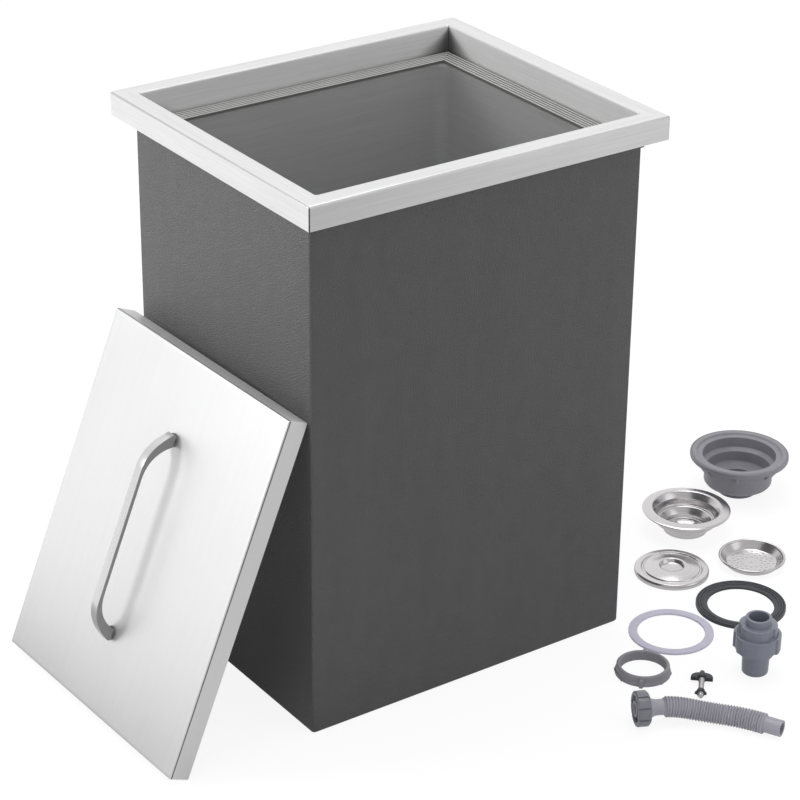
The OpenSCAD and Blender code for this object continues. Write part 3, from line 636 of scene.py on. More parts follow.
class IceBinFinish(bpy.types.PropertyGroup):
    """Colours and surface values of the ice bin."""

    steel: FloatVectorProperty(
        name="Steel", description="Colour of the rim and the lid", subtype="COLOR",
        default=(0.83, 0.83, 0.83), min=0, max=1,
    )
    steel_roughness: FloatProperty(
        name="Steel roughness", description="How dull the brushed steel is", subtype="FACTOR",
        default=0.34, min=0.05, max=1,
    )
    tub_steel: FloatVectorProperty(
        name="Tub steel", description="Colour of the tub and the lid's inner pan", subtype="COLOR",
        default=(0.72, 0.72, 0.725), min=0, max=1,
    )
    jacket: FloatVectorProperty(
        name="Jacket", description="Colour of the black outer jacket", subtype="COLOR",
        default=(0.048, 0.048, 0.049), min=0, max=1,
    )
    ledge: FloatVectorProperty(
        name="Ledge strips", description="Colour of the ribbed strips under the lid", subtype="COLOR",
        default=(0.47, 0.47, 0.46), min=0, max=1,
    )
    fittings: FloatVectorProperty(
        name="Fittings", description="Colour of the grey drain fittings", subtype="COLOR",
        default=(0.30, 0.295, 0.33), min=0, max=1,
    )
    nuts: FloatVectorProperty(
        name="Nuts", description="Colour of the grey nuts", subtype="COLOR",
        default=(0.23, 0.235, 0.27), min=0, max=1,
    )
    hose: FloatVectorProperty(
        name="Hose", description="Colour of the ribbed hose", subtype="COLOR",
        default=(0.42, 0.41, 0.47), min=0, max=1,
    )
    union: FloatVectorProperty(
        name="Union", description="Colour of the hose union", subtype="COLOR",
        default=(0.25, 0.27, 0.33), min=0, max=1,
    )
    handle: FloatVectorProperty(
        name="Handle", description="Colour of the lid's handle", subtype="COLOR",
        default=(0.74, 0.74, 0.74), min=0, max=1,
    )
    drain_steel: FloatVectorProperty(
        name="Drain steel", description="Colour of the flange, the strainer and the plug cover",
        subtype="COLOR", default=(0.70, 0.68, 0.69), min=0, max=1,
    )
    rubber: FloatVectorProperty(
        name="Rubber", description="Colour of the gasket and the seal", subtype="COLOR",
        default=(0.045, 0.048, 0.058), min=0, max=1,
    )
    washer: FloatVectorProperty(
        name="Washer", description="Colour of the slip washer", subtype="COLOR",
        default=(0.70, 0.68, 0.82), min=0, max=1,
    )
    insert: FloatVectorProperty(
        name="Insert", description="Colour of the threaded insert", subtype="COLOR",
        default=(0.45, 0.43, 0.42), min=0, max=1,
    )
    bolt: FloatVectorProperty(
        name="Bolt", description="Colour of the clamp bolt's head and wing nut", subtype="COLOR",
        default=(0.03, 0.034, 0.042), min=0, max=1,
    )
    foam: FloatVectorProperty(
        name="Foam", description="Colour of the foam inside the bin and the lid", subtype="COLOR",
        default=(0.86, 0.80, 0.60), min=0, max=1,
    )


class IceBinSizes(bpy.types.PropertyGroup):
    """Small sizes of the finished surfaces."""

    seam: FloatProperty(
        name="Corner seam", description="Depth of the seam at the rim's folded corners", unit="LENGTH",
        default=0.0007, min=0, max=0.002, precision=4,
    )
    lid_groove: FloatProperty(
        name="Lid groove", description="Depth of the fold line round the lid's face", unit="LENGTH",
        default=0.0006, min=0, max=0.0009, precision=4,
    )
    ledge_ribs: IntProperty(
        name="Ledge ribs", description="Ribs along each ledge strip", default=5, min=3, max=6,
    )
    hose_ribs: IntProperty(
        name="Hose ribs", description="Ribs along the hose", default=35, min=20, max=40,
    )
    union_lobes: IntProperty(
        name="Union lobes", description="Broad lobes round the union nut", default=3, min=2, max=6,
    )
    nut_lobes: IntProperty(
        name="Nut lobes", description="Lobes round the hose nut", default=9, min=6, max=12,
    )
    strainer_holes: IntProperty(
        name="Strainer holes", description="Holes on each of the strainer's rings", default=12, min=6, max=14,
    )


# Geometry Nodes

class Growth(Network):
    """One Geometry Nodes tree with named inputs, ended by Realize Instances and Set Material."""

    def __init__(self, name, inputs):
        group = bpy.data.node_groups.new(name, "GeometryNodeTree")
        super().__init__(group)
        self.group = group
        group.interface.new_socket("Geometry", in_out="OUTPUT", socket_type="NodeSocketGeometry")
        self.keys = {}
        kinds = {"Geometry": "NodeSocketGeometry", "Material": "NodeSocketMaterial"}
        for label, default in {"Geometry": None, **inputs, "Material": None}.items():
            kind = kinds.get(label) or ("NodeSocketInt" if isinstance(default, int) else "NodeSocketFloat")
            socket = group.interface.new_socket(label, in_out="INPUT", socket_type=kind)
            self.keys[label] = socket.identifier
            if default is not None:
                socket.default_value = default
        self.inlet = self.nodes.new("NodeGroupInput")

    def given(self, label):
        return Value(self, self.inlet.outputs[label])

    def index(self):
        return self.node("GeometryNodeInputIndex", {}, {})

    def position(self):
        return self.node("GeometryNodeInputPosition", {}, {})

    def end(self, geometry):
        real = self.node("GeometryNodeRealizeInstances", {}, {0: geometry})
        painted = self.node(
            "GeometryNodeSetMaterial", {}, {"Geometry": real, "Material": self.given("Material")},
        )
        self.node("NodeGroupOutput", {}, {0: painted})
        return self


def grown(source, growth, paint, **values):
    """A mesh under construction that a tree makes from a source object, which is used up."""
    modifier = source.modifiers.new("Growth", "NODES")
    modifier.node_group = growth.group
    modifier[growth.keys["Material"]] = paint
    for label, value in values.items():
        modifier[growth.keys[label.replace("_", " ").capitalize()]] = value
    bpy.context.view_layer.update()
    ready = source.evaluated_get(bpy.context.evaluated_depsgraph_get())
    mesh = bpy.data.meshes.new_from_object(ready)
    source.modifiers.remove(modifier)
    bpy.data.objects.remove(source)
    bm = bmesh.new()
    bm.from_mesh(mesh)
    bpy.data.meshes.remove(mesh)
    return bm


def seed(name, bm):
    """A plain object for a tree to start from."""
    mesh = bpy.data.meshes.new(name)
    bmesh.ops.recalc_face_normals(bm, faces=bm.faces)
    bm.to_mesh(mesh)
    bm.free()
    made = bpy.data.objects.new(name, mesh)
    bpy.context.scene.collection.objects.link(made)
    return made


def join(bm, other, place=None):
    """Adds one mesh under construction to another and frees it."""
    if place:
        other.transform(place)
    spare = bpy.data.meshes.new("Spare")
    other.to_mesh(spare)
    other.free()
    bm.from_mesh(spare)
    bpy.data.meshes.remove(spare)


def round_copies_tree():
    """Copies of a part at equal angles round the Z axis."""
    t = Growth("Copies round an axis", {"Copies": 4, "Start": 0.0})
    points = t.node("GeometryNodePoints", {}, {"Count": t.given("Copies")})
    turn = t.given("Start") + t.index() * (2 * math.pi) / t.given("Copies")
    placed = t.node(
        "GeometryNodeInstanceOnPoints", {},
        {"Points": points, "Instance": t.given("Geometry"), "Rotation": t.joined(0.0, 0.0, turn)},
    )
    return t.end(placed)


def thread_tree():
    """One screw thread: a small ridge that climbs round the Z axis."""
    t = Growth("Screw thread", {"Radius": 10.0, "Pitch": 1.0, "Turns": 5.0, "Ridge": 0.5})
    line = t.node(
        "GeometryNodeCurveSpiral", {},
        {"Resolution": 40, "Rotations": t.given("Turns"), "Start Radius": t.given("Radius"),
         "End Radius": t.given("Radius"), "Height": t.given("Turns") * t.given("Pitch")},
    )
    ridge = t.node(
        "GeometryNodeCurvePrimitiveCircle", {"mode": "RADIUS"}, {"Resolution": 4, "Radius": t.given("Ridge")},
    )
    swept = t.node(
        "GeometryNodeCurveToMesh", {}, {"Curve": line, "Profile Curve": ridge, "Fill Caps": True},
    )
    return t.end(swept)


def lobes_tree():
    """Grooves pressed into the outside of a turned part, at equal angles, which leave lobes between them."""
    t = Growth("Lobes", {
        "Lobes": 8, "Start": 0.0, "Depth": 1.0, "Outside": 18.0, "Edge": 0.8, "Slope": 0.05,
        "Low": -1.0, "High": 99.0,
    })
    x, y, z = t.parts(t.position())
    out = (x * x + y * y) ** 0.5
    turn = y.angle_from(x) - t.given("Start")
    wave = (turn * t.given("Lobes")).cosine()
    press = wave.ramp(t.given("Edge"), t.given("Edge") + t.given("Slope"))
    press = press * (out > t.given("Outside")) * (z > t.given("Low")) * (z < t.given("High"))
    share = 1.0 - press * t.given("Depth") / out.most(0.001)
    moved = t.node(
        "GeometryNodeSetPosition", {},
        {"Geometry": t.given("Geometry"), "Position": t.joined(x * share, y * share, z)},
    )
    return t.end(moved)


def holes_tree(rings):
    """Round holes through a plate: one at the middle and the same number on each ring."""
    sizes = {"Holes": 12, "Hole radius": 1.1}
    for n, radius in enumerate(rings):
        sizes[f"Ring {n} radius"] = float(radius)
    t = Growth("Strainer holes", sizes)
    drill = t.node(
        "GeometryNodeMeshCylinder", {}, {"Vertices": 16, "Radius": t.given("Hole radius"), "Depth": 3.0},
    )
    gathered = t.nodes.new("GeometryNodeJoinGeometry")
    t.links.new(drill.socket, gathered.inputs[0])
    for n in range(len(rings)):
        ring = t.node(
            "GeometryNodeMeshCircle", {},
            {"Vertices": t.given("Holes"), "Radius": t.given(f"Ring {n} radius")},
        )
        turned = t.node(
            "GeometryNodeTransform", {},
            {"Geometry": ring, "Rotation": t.joined(0.0, 0.0, math.pi * (n % 2) / t.given("Holes"))},
        )
        drills = t.node("GeometryNodeInstanceOnPoints", {}, {"Points": turned, "Instance": drill})
        t.links.new(drills.socket, gathered.inputs[0])
    drilled = t.node("GeometryNodeRealizeInstances", {}, {0: Value(t, gathered.outputs[0])})
    cut = t.node(
        "GeometryNodeMeshBoolean", {"operation": "DIFFERENCE", "solver": "EXACT"},
        {"Mesh 1": t.given("Geometry"), "Mesh 2": drilled},
    )
    return t.end(cut)


def ribbed_hose_tree():
    """A hose along a line: ribbed outside between two lengths, plain at its ends, with a bore."""
    t = Growth("Ribbed hose", {
        "Stations": 380, "Sides": 48, "Ribs": 35, "Ribs from": 26.0, "Ribs to": 113.0, "Rib radius": 9.2,
        "Root radius": 7.8, "Neck radius": 6.9, "Tail radius": 7.2, "Bore radius": 5.2,
    })
    line = t.node("GeometryNodeMeshToCurve", {}, {"Mesh": t.given("Geometry")})
    stations = t.given("Stations")
    grid = t.node(
        "GeometryNodeMeshGrid", {},
        {"Size X": 1.0, "Size Y": 1.0, "Vertices X": stations * 2 + 1, "Vertices Y": t.given("Sides") + 1},
    )
    u, v, _ = t.parts(t.position())
    row = ((u + 0.5) * (stations * 2)).rounded()
    inside = (row > stations - 0.5) * (row < stations * 2 - 0.5)
    outward = (1 - inside) * (row < stations - 0.5) * row
    share = (inside * (stations * 2 - 1 - row) + outward) / (stations - 1)
    along = share * t.node("GeometryNodeCurveLength", {}, {"Curve": line})
    first, last = t.given("Ribs from"), t.given("Ribs to")
    phase = (along - first) / (last - first) * t.given("Ribs")
    crest = (0.5 - (phase * (2 * math.pi)).cosine() * 0.5).most(0.0) ** 0.55
    ribbed = (along > first) * (along < last)
    plain = t.given("Neck radius") * (along < first) + t.given("Tail radius") * (1 - (along < last))
    rib = t.given("Root radius") + (t.given("Rib radius") - t.given("Root radius")) * crest
    radius = inside * t.given("Bore radius") + (1 - inside) * (ribbed * rib + (1 - ribbed) * plain)
    sample = t.node("GeometryNodeSampleCurve", {"mode": "LENGTH"}, {"Curves": line, "Length": along})
    found = sample.socket.node.outputs
    middle, tangent, side = (Value(t, found[name]) for name in ("Position", "Tangent", "Normal"))
    up = t.vectors("CROSS_PRODUCT", tangent, side)
    angle = v * (2 * math.pi)
    across = t.vectors("MULTIPLY", side, radius * angle.cosine())
    rise = t.vectors("MULTIPLY", up, radius * angle.sine())
    place = t.vectors("ADD", middle, t.vectors("ADD", across, rise))
    tube = t.node("GeometryNodeSetPosition", {}, {"Geometry": grid, "Position": place})
    welded = t.node("GeometryNodeMergeByDistance", {}, {"Geometry": tube, "Distance": 0.001})
    return t.end(welded)


def add_copies(bm, part, paint, copies, start=0.0):
    """Adds copies of a part to a mesh, at equal angles round the Z axis."""
    join(bm, grown(seed("Part", part), round_copies_tree(), paint, copies=copies, start=math.radians(start)))


def add_thread(bm, paint, radius, pitch, low, high, ridge):
    """Adds a screw thread between two heights."""
    part = bmesh.new()
    part.verts.new((0, 0, 0))
    turns = (high - low) / pitch
    made = grown(
        seed("Thread", part), thread_tree(), paint, radius=radius, pitch=pitch, turns=turns, ridge=ridge,
    )
    join(bm, made, Matrix.Translation((0, 0, low)))


def block(w, d, low, high, x=0.0, ease=0.3):
    """A block that starts at x and is w long, d wide and from low to high, with its edges eased."""
    bm = bmesh.new()
    side_prism(bm, [(x, low), (x + w, low), (x + w, high), (x, high)], d)
    ease_edges(bm, ease)
    return bm


# Pieces

class ICEBIN_OT_stage(bpy.types.Operator):
    """Sets the camera, the soft studio light and the pale floor"""

    bl_idname = "icebin.stage"
    bl_label = "Stage"

    def execute(self, context):
        scene = context.scene
        scene.view_settings.view_transform = "Standard"
        self.camera(scene)
        self.world(scene)
        self.floor(scene)
        for lamp in LAMPS:
            self.lamp(scene, *lamp)
        return {"FINISHED"}

    def camera(self, scene):
        turn, rise = math.radians(VIEW_AZIMUTH), math.radians(VIEW_ELEVATION)
        back = Vector((math.sin(turn) * math.cos(rise), -math.cos(turn) * math.cos(rise), math.sin(rise)))
        camera = bpy.data.objects.new("Camera", bpy.data.cameras.new("Camera"))
        camera.data.lens = VIEW_LENS
        camera.data.clip_end = 60
        camera.rotation_mode = "QUATERNION"
        camera.location = VIEW_TARGET + back * VIEW_DISTANCE
        roll = Matrix.Rotation(math.radians(VIEW_ROLL), 3, "Z").to_quaternion()
        camera.rotation_quaternion = (-back).to_track_quat("-Z", "Y") @ roll
        scene.collection.objects.link(camera)
        scene.camera = camera

    def lamp(self, scene, name, at, aim, watts, size):
        data = bpy.data.lights.new(name, "AREA")
        data.energy = watts
        data.size = size
        lamp = bpy.data.objects.new(name, data)
        lamp.location = at
        lamp.rotation_mode = "QUATERNION"
        lamp.rotation_quaternion = (Vector(aim) - Vector(at)).to_track_quat("-Z", "Y")
        scene.collection.objects.link(lamp)

    def world(self, scene):
        """White to the eye, dimmer in reflections towards the front, and about half as bright as a light."""
        world = bpy.data.worlds.new("Studio")
        world.use_nodes = True
        world.node_tree.nodes.clear()
        net = Network(world.node_tree)
        x, y, _ = net.parts(net.node("ShaderNodeTexCoord", {}, {}, "Generated"))
        in_front, more_behind, as_light = 0.58, 0.42, 0.53
        behind = (y + x * 0.5).ramp(0.0, 1.0)
        mirrored = behind * more_behind + in_front
        camera, glossy = net.rays("Is Camera Ray"), net.rays("Is Glossy Ray", "Is Transmission Ray")
        level = camera + (1 - camera) * (glossy * mirrored + (1 - glossy) * as_light)
        air = net.node("ShaderNodeBackground", {}, {"Color": (1, 1, 1), "Strength": level})
        net.node("ShaderNodeOutputWorld", {}, {"Surface": air})
        scene.world = world

    def floor(self, scene):
        """A pale floor, white to the eye but for its shadows, and mirrored brightest behind the bin, with a
        painted shadow in its reflections near the lid's foot.
        """
        in_front, more_behind, more_beside, as_seen, glow_share = 0.37, 0.82, 0.42, 1.1, 0.8
        bm = bmesh.new()
        bm.faces.new([bm.verts.new(polar(FLOOR_R, 360 / FLOOR_SIDES * k)) for k in range(FLOOR_SIDES)])
        mesh = bpy.data.meshes.new("Floor")
        bm.to_mesh(mesh)
        bm.free()
        floor = bpy.data.objects.new("Floor", mesh)
        scene.collection.objects.link(floor)
        p = Paint("Floor white")
        pale = p.blend(p.noise(p.place(), 1.5), (0.9, 0.9, 0.9), (0.92, 0.92, 0.92))
        matt = p.node("ShaderNodeBsdfDiffuse", {}, {"Color": pale})
        x, y, _ = p.parts(p.place())
        # The floor's glow in reflections is painted light: brighter behind and beside the bin, dimmer in
        # front, and darkened by a painted shadow near the lid's foot.
        behind = (y * 0.8 - x * 0.6).ramp(-0.5, 0.7)
        beside = (y * 0.4 + x).ramp(-0.3, 0.7)
        painted_floor_shadow = ((x + 0.3) ** 2 + (y - 0.1) ** 2).ramp(0.35, 0.0) * y.ramp(-0.3, 0.0)
        lit = behind * more_behind + (1 - behind) * beside * more_beside + in_front
        mirrored = lit * (1 - painted_floor_shadow * 0.8)
        camera, glossy = p.rays("Is Camera Ray"), p.rays("Is Glossy Ray", "Is Transmission Ray")
        level = camera * as_seen + (1 - camera) * mirrored
        glow = p.node("ShaderNodeEmission", {}, {"Color": (1, 1, 1), "Strength": level})
        mixed = p.node("ShaderNodeMixShader", {}, {0: camera.most(glossy) * glow_share, 1: matt, 2: glow})
        p.node("ShaderNodeOutputMaterial", {}, {"Surface": mixed})
        mesh.materials.append(p.material)


class ICEBIN_OT_hose(bpy.types.Operator):
    """Builds the ribbed drain hose and its nut"""

    bl_idname = "icebin.hose"
    bl_label = "Drain hose"

    def execute(self, context):
        finish, sizes = context.scene.ice_bin_finish, context.scene.ice_bin_sizes
        line = self.middle_line()
        length = sum((b - a).length for a, b in zip(line, line[1:]))
        place = Matrix.Translation((*HOSE_AT, 0)) @ turn_by(HOSE_TURN)
        start = Matrix.Translation(line[0]) @ turn_by(90, "Y")
        paint = moulded("Hose grey", finish.hose, 0.32, 700, 0.015, 0.07, coat_weight=0.2)
        wire = bmesh.new()
        spots = [wire.verts.new(spot) for spot in line]
        for a, b in zip(spots, spots[1:]):
            wire.edges.new((a, b))
        bm = grown(
            seed("Hose line", wire), ribbed_hose_tree(), paint,
            ribs=sizes.hose_ribs, ribs_from=float(HOSE_RIBS_FROM), ribs_to=length - HOSE_TAIL,
            rib_radius=HOSE_D / 2, root_radius=HOSE_ROOT_D / 2, neck_radius=HOSE_NECK_D / 2,
            tail_radius=HOSE_NECK_D / 2 + 0.3, bore_radius=HOSE_BORE_D / 2,
        )
        join(bm, self.collar(), start)
        hose = new_piece("ribbed_hose", bm, place, keep_sharp=50)
        settle(hose, paint, "hose_loose", "hose_grey", "hose")
        nut = self.nut(finish, sizes, place @ start)
        path = [place @ spot * MM for spot in line]
        return {"FINISHED"}

    def middle_line(self):
        """The route averaged over a short stretch, so that it bends smoothly, in millimetres."""
        points = [Vector(p) for p in HOSE_POINTS]
        steps = [(b - a).length for a, b in zip(points, points[1:])]
        length = sum(steps)

        def at(s):
            for a, b, step in zip(points, points[1:], steps):
                if s <= step or b is points[-1]:
                    return a.lerp(b, s / step)
                s -= step

        line = []
        for k in range(HOSE_STATIONS + 1):
            s = length * k / HOSE_STATIONS
            reach = min(HOSE_SPREAD, s, length - s)
            line.append(sum((at(s + i * reach / 4) for i in range(-4, 5)), Vector()) / 9)
        return line

    def collar(self):
        """The lip, cone and end ring at the nut's end of the hose, along the Z axis."""
        neck = HOSE_NECK_D / 2
        bm = bmesh.new()
        lathe(bm, [
            (neck - 0.4, 2.9), (11.6, 2.9), (11.6, 5.4), (9.3, 5.6), (9.3, 12.3, 1.2), (neck + 0.06, 17.2, 2),
            (neck + 0.06, 24.4), (neck + 0.5, 24.9), (neck + 1.2, 25.9), (neck - 0.4, 26.2),
        ], 64, 0.4)
        return bm

    def nut(self, finish, sizes, place):
        low, high = box_mm("hose_nut")
        r, h = (high.z - low.z) / 2, HOSE_NUT_H
        paint = moulded("Hose nut grey", finish.nuts, 0.3, 800, 0.015, 0.08, coat_weight=0.2)
        bm = bmesh.new()
        lathe(bm, [
            (12, 0), (r - 0.9, 0), (r, 1.0), (r, h - 2), (r - 2, h), (9.7, h), (9.7, 5.8), (12, 5.6),
        ], 240, 0.5)
        bm = grown(
            seed("Nut", bm), lobes_tree(), paint, lobes=sizes.nut_lobes, depth=1.3, outside=r - 2.6,
            edge=0.86, slope=0.12,
        )
        add_thread(bm, paint, 12.1, 1.6, 0.9, 4.6, 0.4)
        nut = new_piece("hose_nut_lobed", bm, place, keep_sharp=40)
        return settle(nut, paint, "hose_nut_turning", "nut_grey", "hose_nut")


class ICEBIN_OT_rim(bpy.types.Operator):
    """Builds the folded steel rim"""

    bl_idname = "icebin.rim"
    bl_label = "Rim"

    def execute(self, context):
        finish, sizes = context.scene.ice_bin_finish, context.scene.ice_bin_sizes
        low, high = box_mm("rim_frame")
        w, d, top = high.x - low.x, high.y - low.y, high.z
        under = box_mm("outer_jacket")[1].z - JACKET_T
        fold = 1.5
        profile = [(0, under, True), (0, top - RIM_BEND, True)]
        profile += [(RIM_BEND - x, top - RIM_BEND + z, True) for x, z in turned_round((0, 0, RIM_BEND), 5)]
        inner = turned_round((0, 0, fold), 4, 90, 0)
        profile += [(RIM_FLANGE - fold + x, top - fold + z, False) for x, z in inner]
        profile += [(RIM_FLANGE, low.z, False), (RIM_FLANGE - SHEET, low.z, False)]
        profile += [
            (RIM_FLANGE - SHEET, top - SHEET, False), (SHEET, top - SHEET, False), (SHEET, under, False),
        ]
        rings = []
        for inset, z, seamed in profile:
            r = 1.4 + (OPENING_R - 1.4) * inset / RIM_FLANGE
            ring = oblong(w - 2 * inset, d - 2 * inset, r, z, 6, 1)
            if seamed:
                for k in range(3, len(ring), 7):
                    out = Vector((math.copysign(1, ring[k].x), math.copysign(1, ring[k].y), 0))
                    ring[k] = ring[k] - out.normalized() * sizes.seam / MM
            rings.append(ring)
        bm = bmesh.new()
        loft(bm, rings)
        bmesh.ops.recalc_face_normals(bm, faces=bm.faces)

        def along(normal, middle):
            if abs(normal.z) > 0.7:
                sideways = abs(middle.x) - w / 2 > abs(middle.y) - d / 2
            else:
                sideways = abs(normal.x) > abs(normal.y)
            return (0, 1, 0) if sideways else (1, 0, 0)

        # Painted shade: dark down the upright corner seams, and a grey line along the outer fold, darker on
        # the left side.
        def painted_shade_map(point):
            from_x, from_y = w / 2 - abs(point.x), d / 2 - abs(point.y)
            upright = max(from_x, from_y) < 1.0 or abs(from_x - RIM_FLANGE) + abs(from_y - RIM_FLANGE) < 2.0
            if upright and abs(from_x - from_y) < 0.6 and point.z < top - 1:
                return 1.0
            folded = top - 1.7 < point.z < top - 0.2 and min(from_x, from_y) < 1.7
            return (0.25 if point.x < 0 and from_x < from_y else 0.12) if folded else 0.0

        def satin(point):
            inset = min(w / 2 - abs(point.x), d / 2 - abs(point.y))
            return 0.8 if inset > RIM_FLANGE - 0.05 else 0.0

        map_brushing(bm, along)
        map_points(bm, "PaintedShade", painted_shade_map)
        map_points(bm, "Satin", satin)
        rim = new_piece("rim_folded", bm, keep_sharp=28)
        # The opening's sizes, for the painted shade on the walls towards the rim's inner corners.
        opening = [size * MM for size in (w / 2 - RIM_FLANGE, d / 2 - RIM_FLANGE, top, low.z)]
        paint = brushed_steel("Rim steel", finish.steel, finish.steel_roughness, opening=opening)
        settle(rim, paint, "bin", "rim_steel", "rim_frame")
        return {"FINISHED"}


class ICEBIN_OT_ledge(bpy.types.Operator):
    """Builds the four ribbed strips that the lid sits on"""

    bl_idname = "icebin.ledge"
    bl_label = "Ledge strips"

    def execute(self, context):
        finish, sizes = context.scene.ice_bin_finish, context.scene.ice_bin_sizes
        paint = moulded("Ledge grey", finish.ledge, 0.4, 600, 0.003, 0.04)
        front, right = box_mm("ledge_strip_front"), box_mm("ledge_strip_right")
        w, d, z = front[1].x - front[0].x, right[1].y - right[0].y, front[0].z
        for side, length, out, turn in (
            ("front", w, d / 2, 0), ("right", d, w / 2, 90), ("back", w, d / 2, 180), ("left", d, w / 2, -90),
        ):
            place = Matrix.Translation((0, 0, z)) @ turn_by(turn) @ Matrix.Translation((0, -out, 0))
            bm = self.strip(length, sizes.ledge_ribs)
            strip = new_piece(f"ledge_{side}_ribbed", bm, place, keep_sharp=38)
            settle(strip, paint, "bin", "ledge_grey", f"ledge_strip_{side}")
        return {"FINISHED"}

    def strip(self, length, ribs):
        """One mitred strip: its cross-section in Y and Z, drawn out along X."""
        pitch = LEDGE_W / (ribs + 0.4)
        rib = 0.37 * pitch
        floor = LEDGE_T - rib * 0.9
        section = [(0, 0), (0, floor)]
        for n in range(ribs):
            arc = turned_round((pitch * (n + 0.7), floor, rib), 8, 180, 0)
            section += [(y, floor + (z - floor) * 0.9) for y, z in arc]
        section += [(LEDGE_W, floor), (LEDGE_W, 0)]

        def half(y):
            bent = OPENING_R - math.sqrt(OPENING_R ** 2 - max(0, OPENING_R - y) ** 2)
            return length / 2 - max(y, bent)

        bm = bmesh.new()
        ends = [[bm.verts.new((end * half(y), y, z)) for y, z in section] for end in (-1, 1)]
        bridge(bm, *ends)
        bm.faces.new(ends[0])
        bm.faces.new(list(reversed(ends[1])))
        # Painted shade in the grooves between the ribs.
        map_points(bm, "PaintedShade", lambda point: 1.0 if 0.5 < point.z < floor + 0.6 * rib else 0.0)
        return bm


class ICEBIN_OT_tub(bpy.types.Operator):
    """Builds the steel tub with its drain seat"""

    bl_idname = "icebin.tub"
    bl_label = "Tub"

    def execute(self, context):
        finish = context.scene.ice_bin_finish
        low, high = box_mm("tub_liner")
        flange_w, flange_d = high.x - low.x, high.y - low.y
        flange = [oblong(flange_w, flange_d, TUB_CORNER_R, z) for z in (high.z, high.z - TUB_SHEET)]
        bm = bmesh.new()
        inside = self.skin(flange_w, flange_d, high.z, low.z + TUB_SHEET, 0)
        outside = self.skin(flange_w, flange_d, high.z - TUB_SHEET, low.z + TUB_SHEET, TUB_SHEET)
        loft(bm, [flange[0], *inside, *reversed(outside), flange[1]])
        bmesh.ops.recalc_face_normals(bm, faces=bm.faces)
        map_brushing(bm, round_the_walls)
        tub = new_piece("tub_pressed", bm, keep_sharp=40)
        paint = brushed_steel("Tub steel", finish.tub_steel, finish.steel_roughness + 0.04, 0.8)
        settle(tub, paint, "bin", "tub_steel", "tub_liner")
        return {"FINISHED"}

    def skin(self, flange_w, flange_d, top, seat, grow):
        """Rings down the wall, round the cove, over the fall and the drain seat, grown outwards."""
        wide, deep = flange_w - 2 * TUB_FLANGE + 2 * grow, flange_d - 2 * TUB_FLANGE + 2 * grow
        base = seat + SEAT_H + TUB_FALL - grow
        cove = TUB_COVE_R + grow
        rings = [oblong(wide, deep, TUB_CORNER_R + grow, top)]
        for across, up in turned_round((0, 0, cove), 8, 0, 90):
            cut = cove - across
            r = max(TUB_CORNER_R + grow - cut * 0.45, 3)
            rings.append(oblong(wide - 2 * cut, deep - 2 * cut, r, base + cove - up))
        for r, fall in (
            (TUB_FALL_R + grow, 0), (TUB_FALL_R + grow - 3, 0.12), (SEAT_R + grow + 1.2, TUB_FALL - 0.05),
            (SEAT_R + grow, TUB_FALL + 0.7), (SEAT_R + grow, TUB_FALL + SEAT_H - 0.5),
            (SEAT_R + grow - 0.5, TUB_FALL + SEAT_H), (DRAIN_HOLE_R, TUB_FALL + SEAT_H),
        ):
            rings.append(round_ring(r, base - fall))
        return rings


class ICEBIN_OT_jacket(bpy.types.Operator):
    """Builds the black outer jacket"""

    bl_idname = "icebin.jacket"
    bl_label = "Jacket"

    def execute(self, context):
        finish = context.scene.ice_bin_finish
        low, high = box_mm("outer_jacket")
        rim_low, rim_high = box_mm("rim_frame")
        t = JACKET_T
        rim_w, rim_d = rim_high.x - rim_low.x, rim_high.y - rim_low.y
        self.body = (rim_w - 2 * OVERHANG_X, rim_d - 2 * OVERHANG_Y)
        collar = 2 * (SHEET - RIM_FLANGE + t) + 0.1
        self.top = (max(self.body[0], rim_w + collar), max(self.body[1], rim_d + collar))
        self.step = rim_low.z - t
        flange = (high.x - low.x, high.y - low.y, 1.5)
        drain = box_mm("tub_liner")[0].z
        bm = bmesh.new()
        loft(bm, [
            oblong(*flange, high.z), oblong(*flange, high.z - t), oblong(*self.top, EDGE_R - t, high.z - t),
            *self.shell(0),
            round_ring(WELL_R, drain - 0.4), round_ring(WELL_R + 0.4, drain), round_ring(WELL_R + t, drain),
            *reversed(self.shell(t)),
            oblong(self.top[0] - 2 * t, self.top[1] - 2 * t, 1, high.z),
        ])
        jacket = new_piece("jacket_grained", bm, keep_sharp=30)
        paint = leather_grain("Jacket black", finish.jacket, 0.42)
        settle(jacket, paint, "bin", "jacket_black", "outer_jacket")
        return {"FINISHED"}

    def shell(self, inset):
        """Rings from the collar down over the rounded bottom to the drain well."""
        (top_w, top_d), (w, d) = self.top, self.body
        bottom_r, corner = BODY_BOTTOM_R - inset, EDGE_R - inset
        rings = [
            oblong(top_w - 2 * inset, top_d - 2 * inset, corner, self.step + inset),
            oblong(w - 2 * inset, d - 2 * inset, corner, self.step + inset),
        ]
        for across, up in turned_round((0, 0, bottom_r), 8, 0, 90):
            cut = inset + bottom_r - across
            r = corner + (cut - inset) * 0.4
            rings.append(oblong(w - 2 * cut, d - 2 * cut, r, inset + bottom_r - up))
        rings.append(round_ring(WELL_R + inset, inset))
        return rings


class ICEBIN_OT_foam(bpy.types.Operator):
    """Gives the foam inside the bin and the lid its look"""

    bl_idname = "icebin.foam"
    bl_label = "Foam"

    def execute(self, context):
        foam = foam_cells("Foam", context.scene.ice_bin_finish.foam)
        for node in ("foam_core", "lid_foam"):
            NODES[node].data.materials.clear()
            NODES[node].data.materials.append(foam)
        return {"FINISHED"}


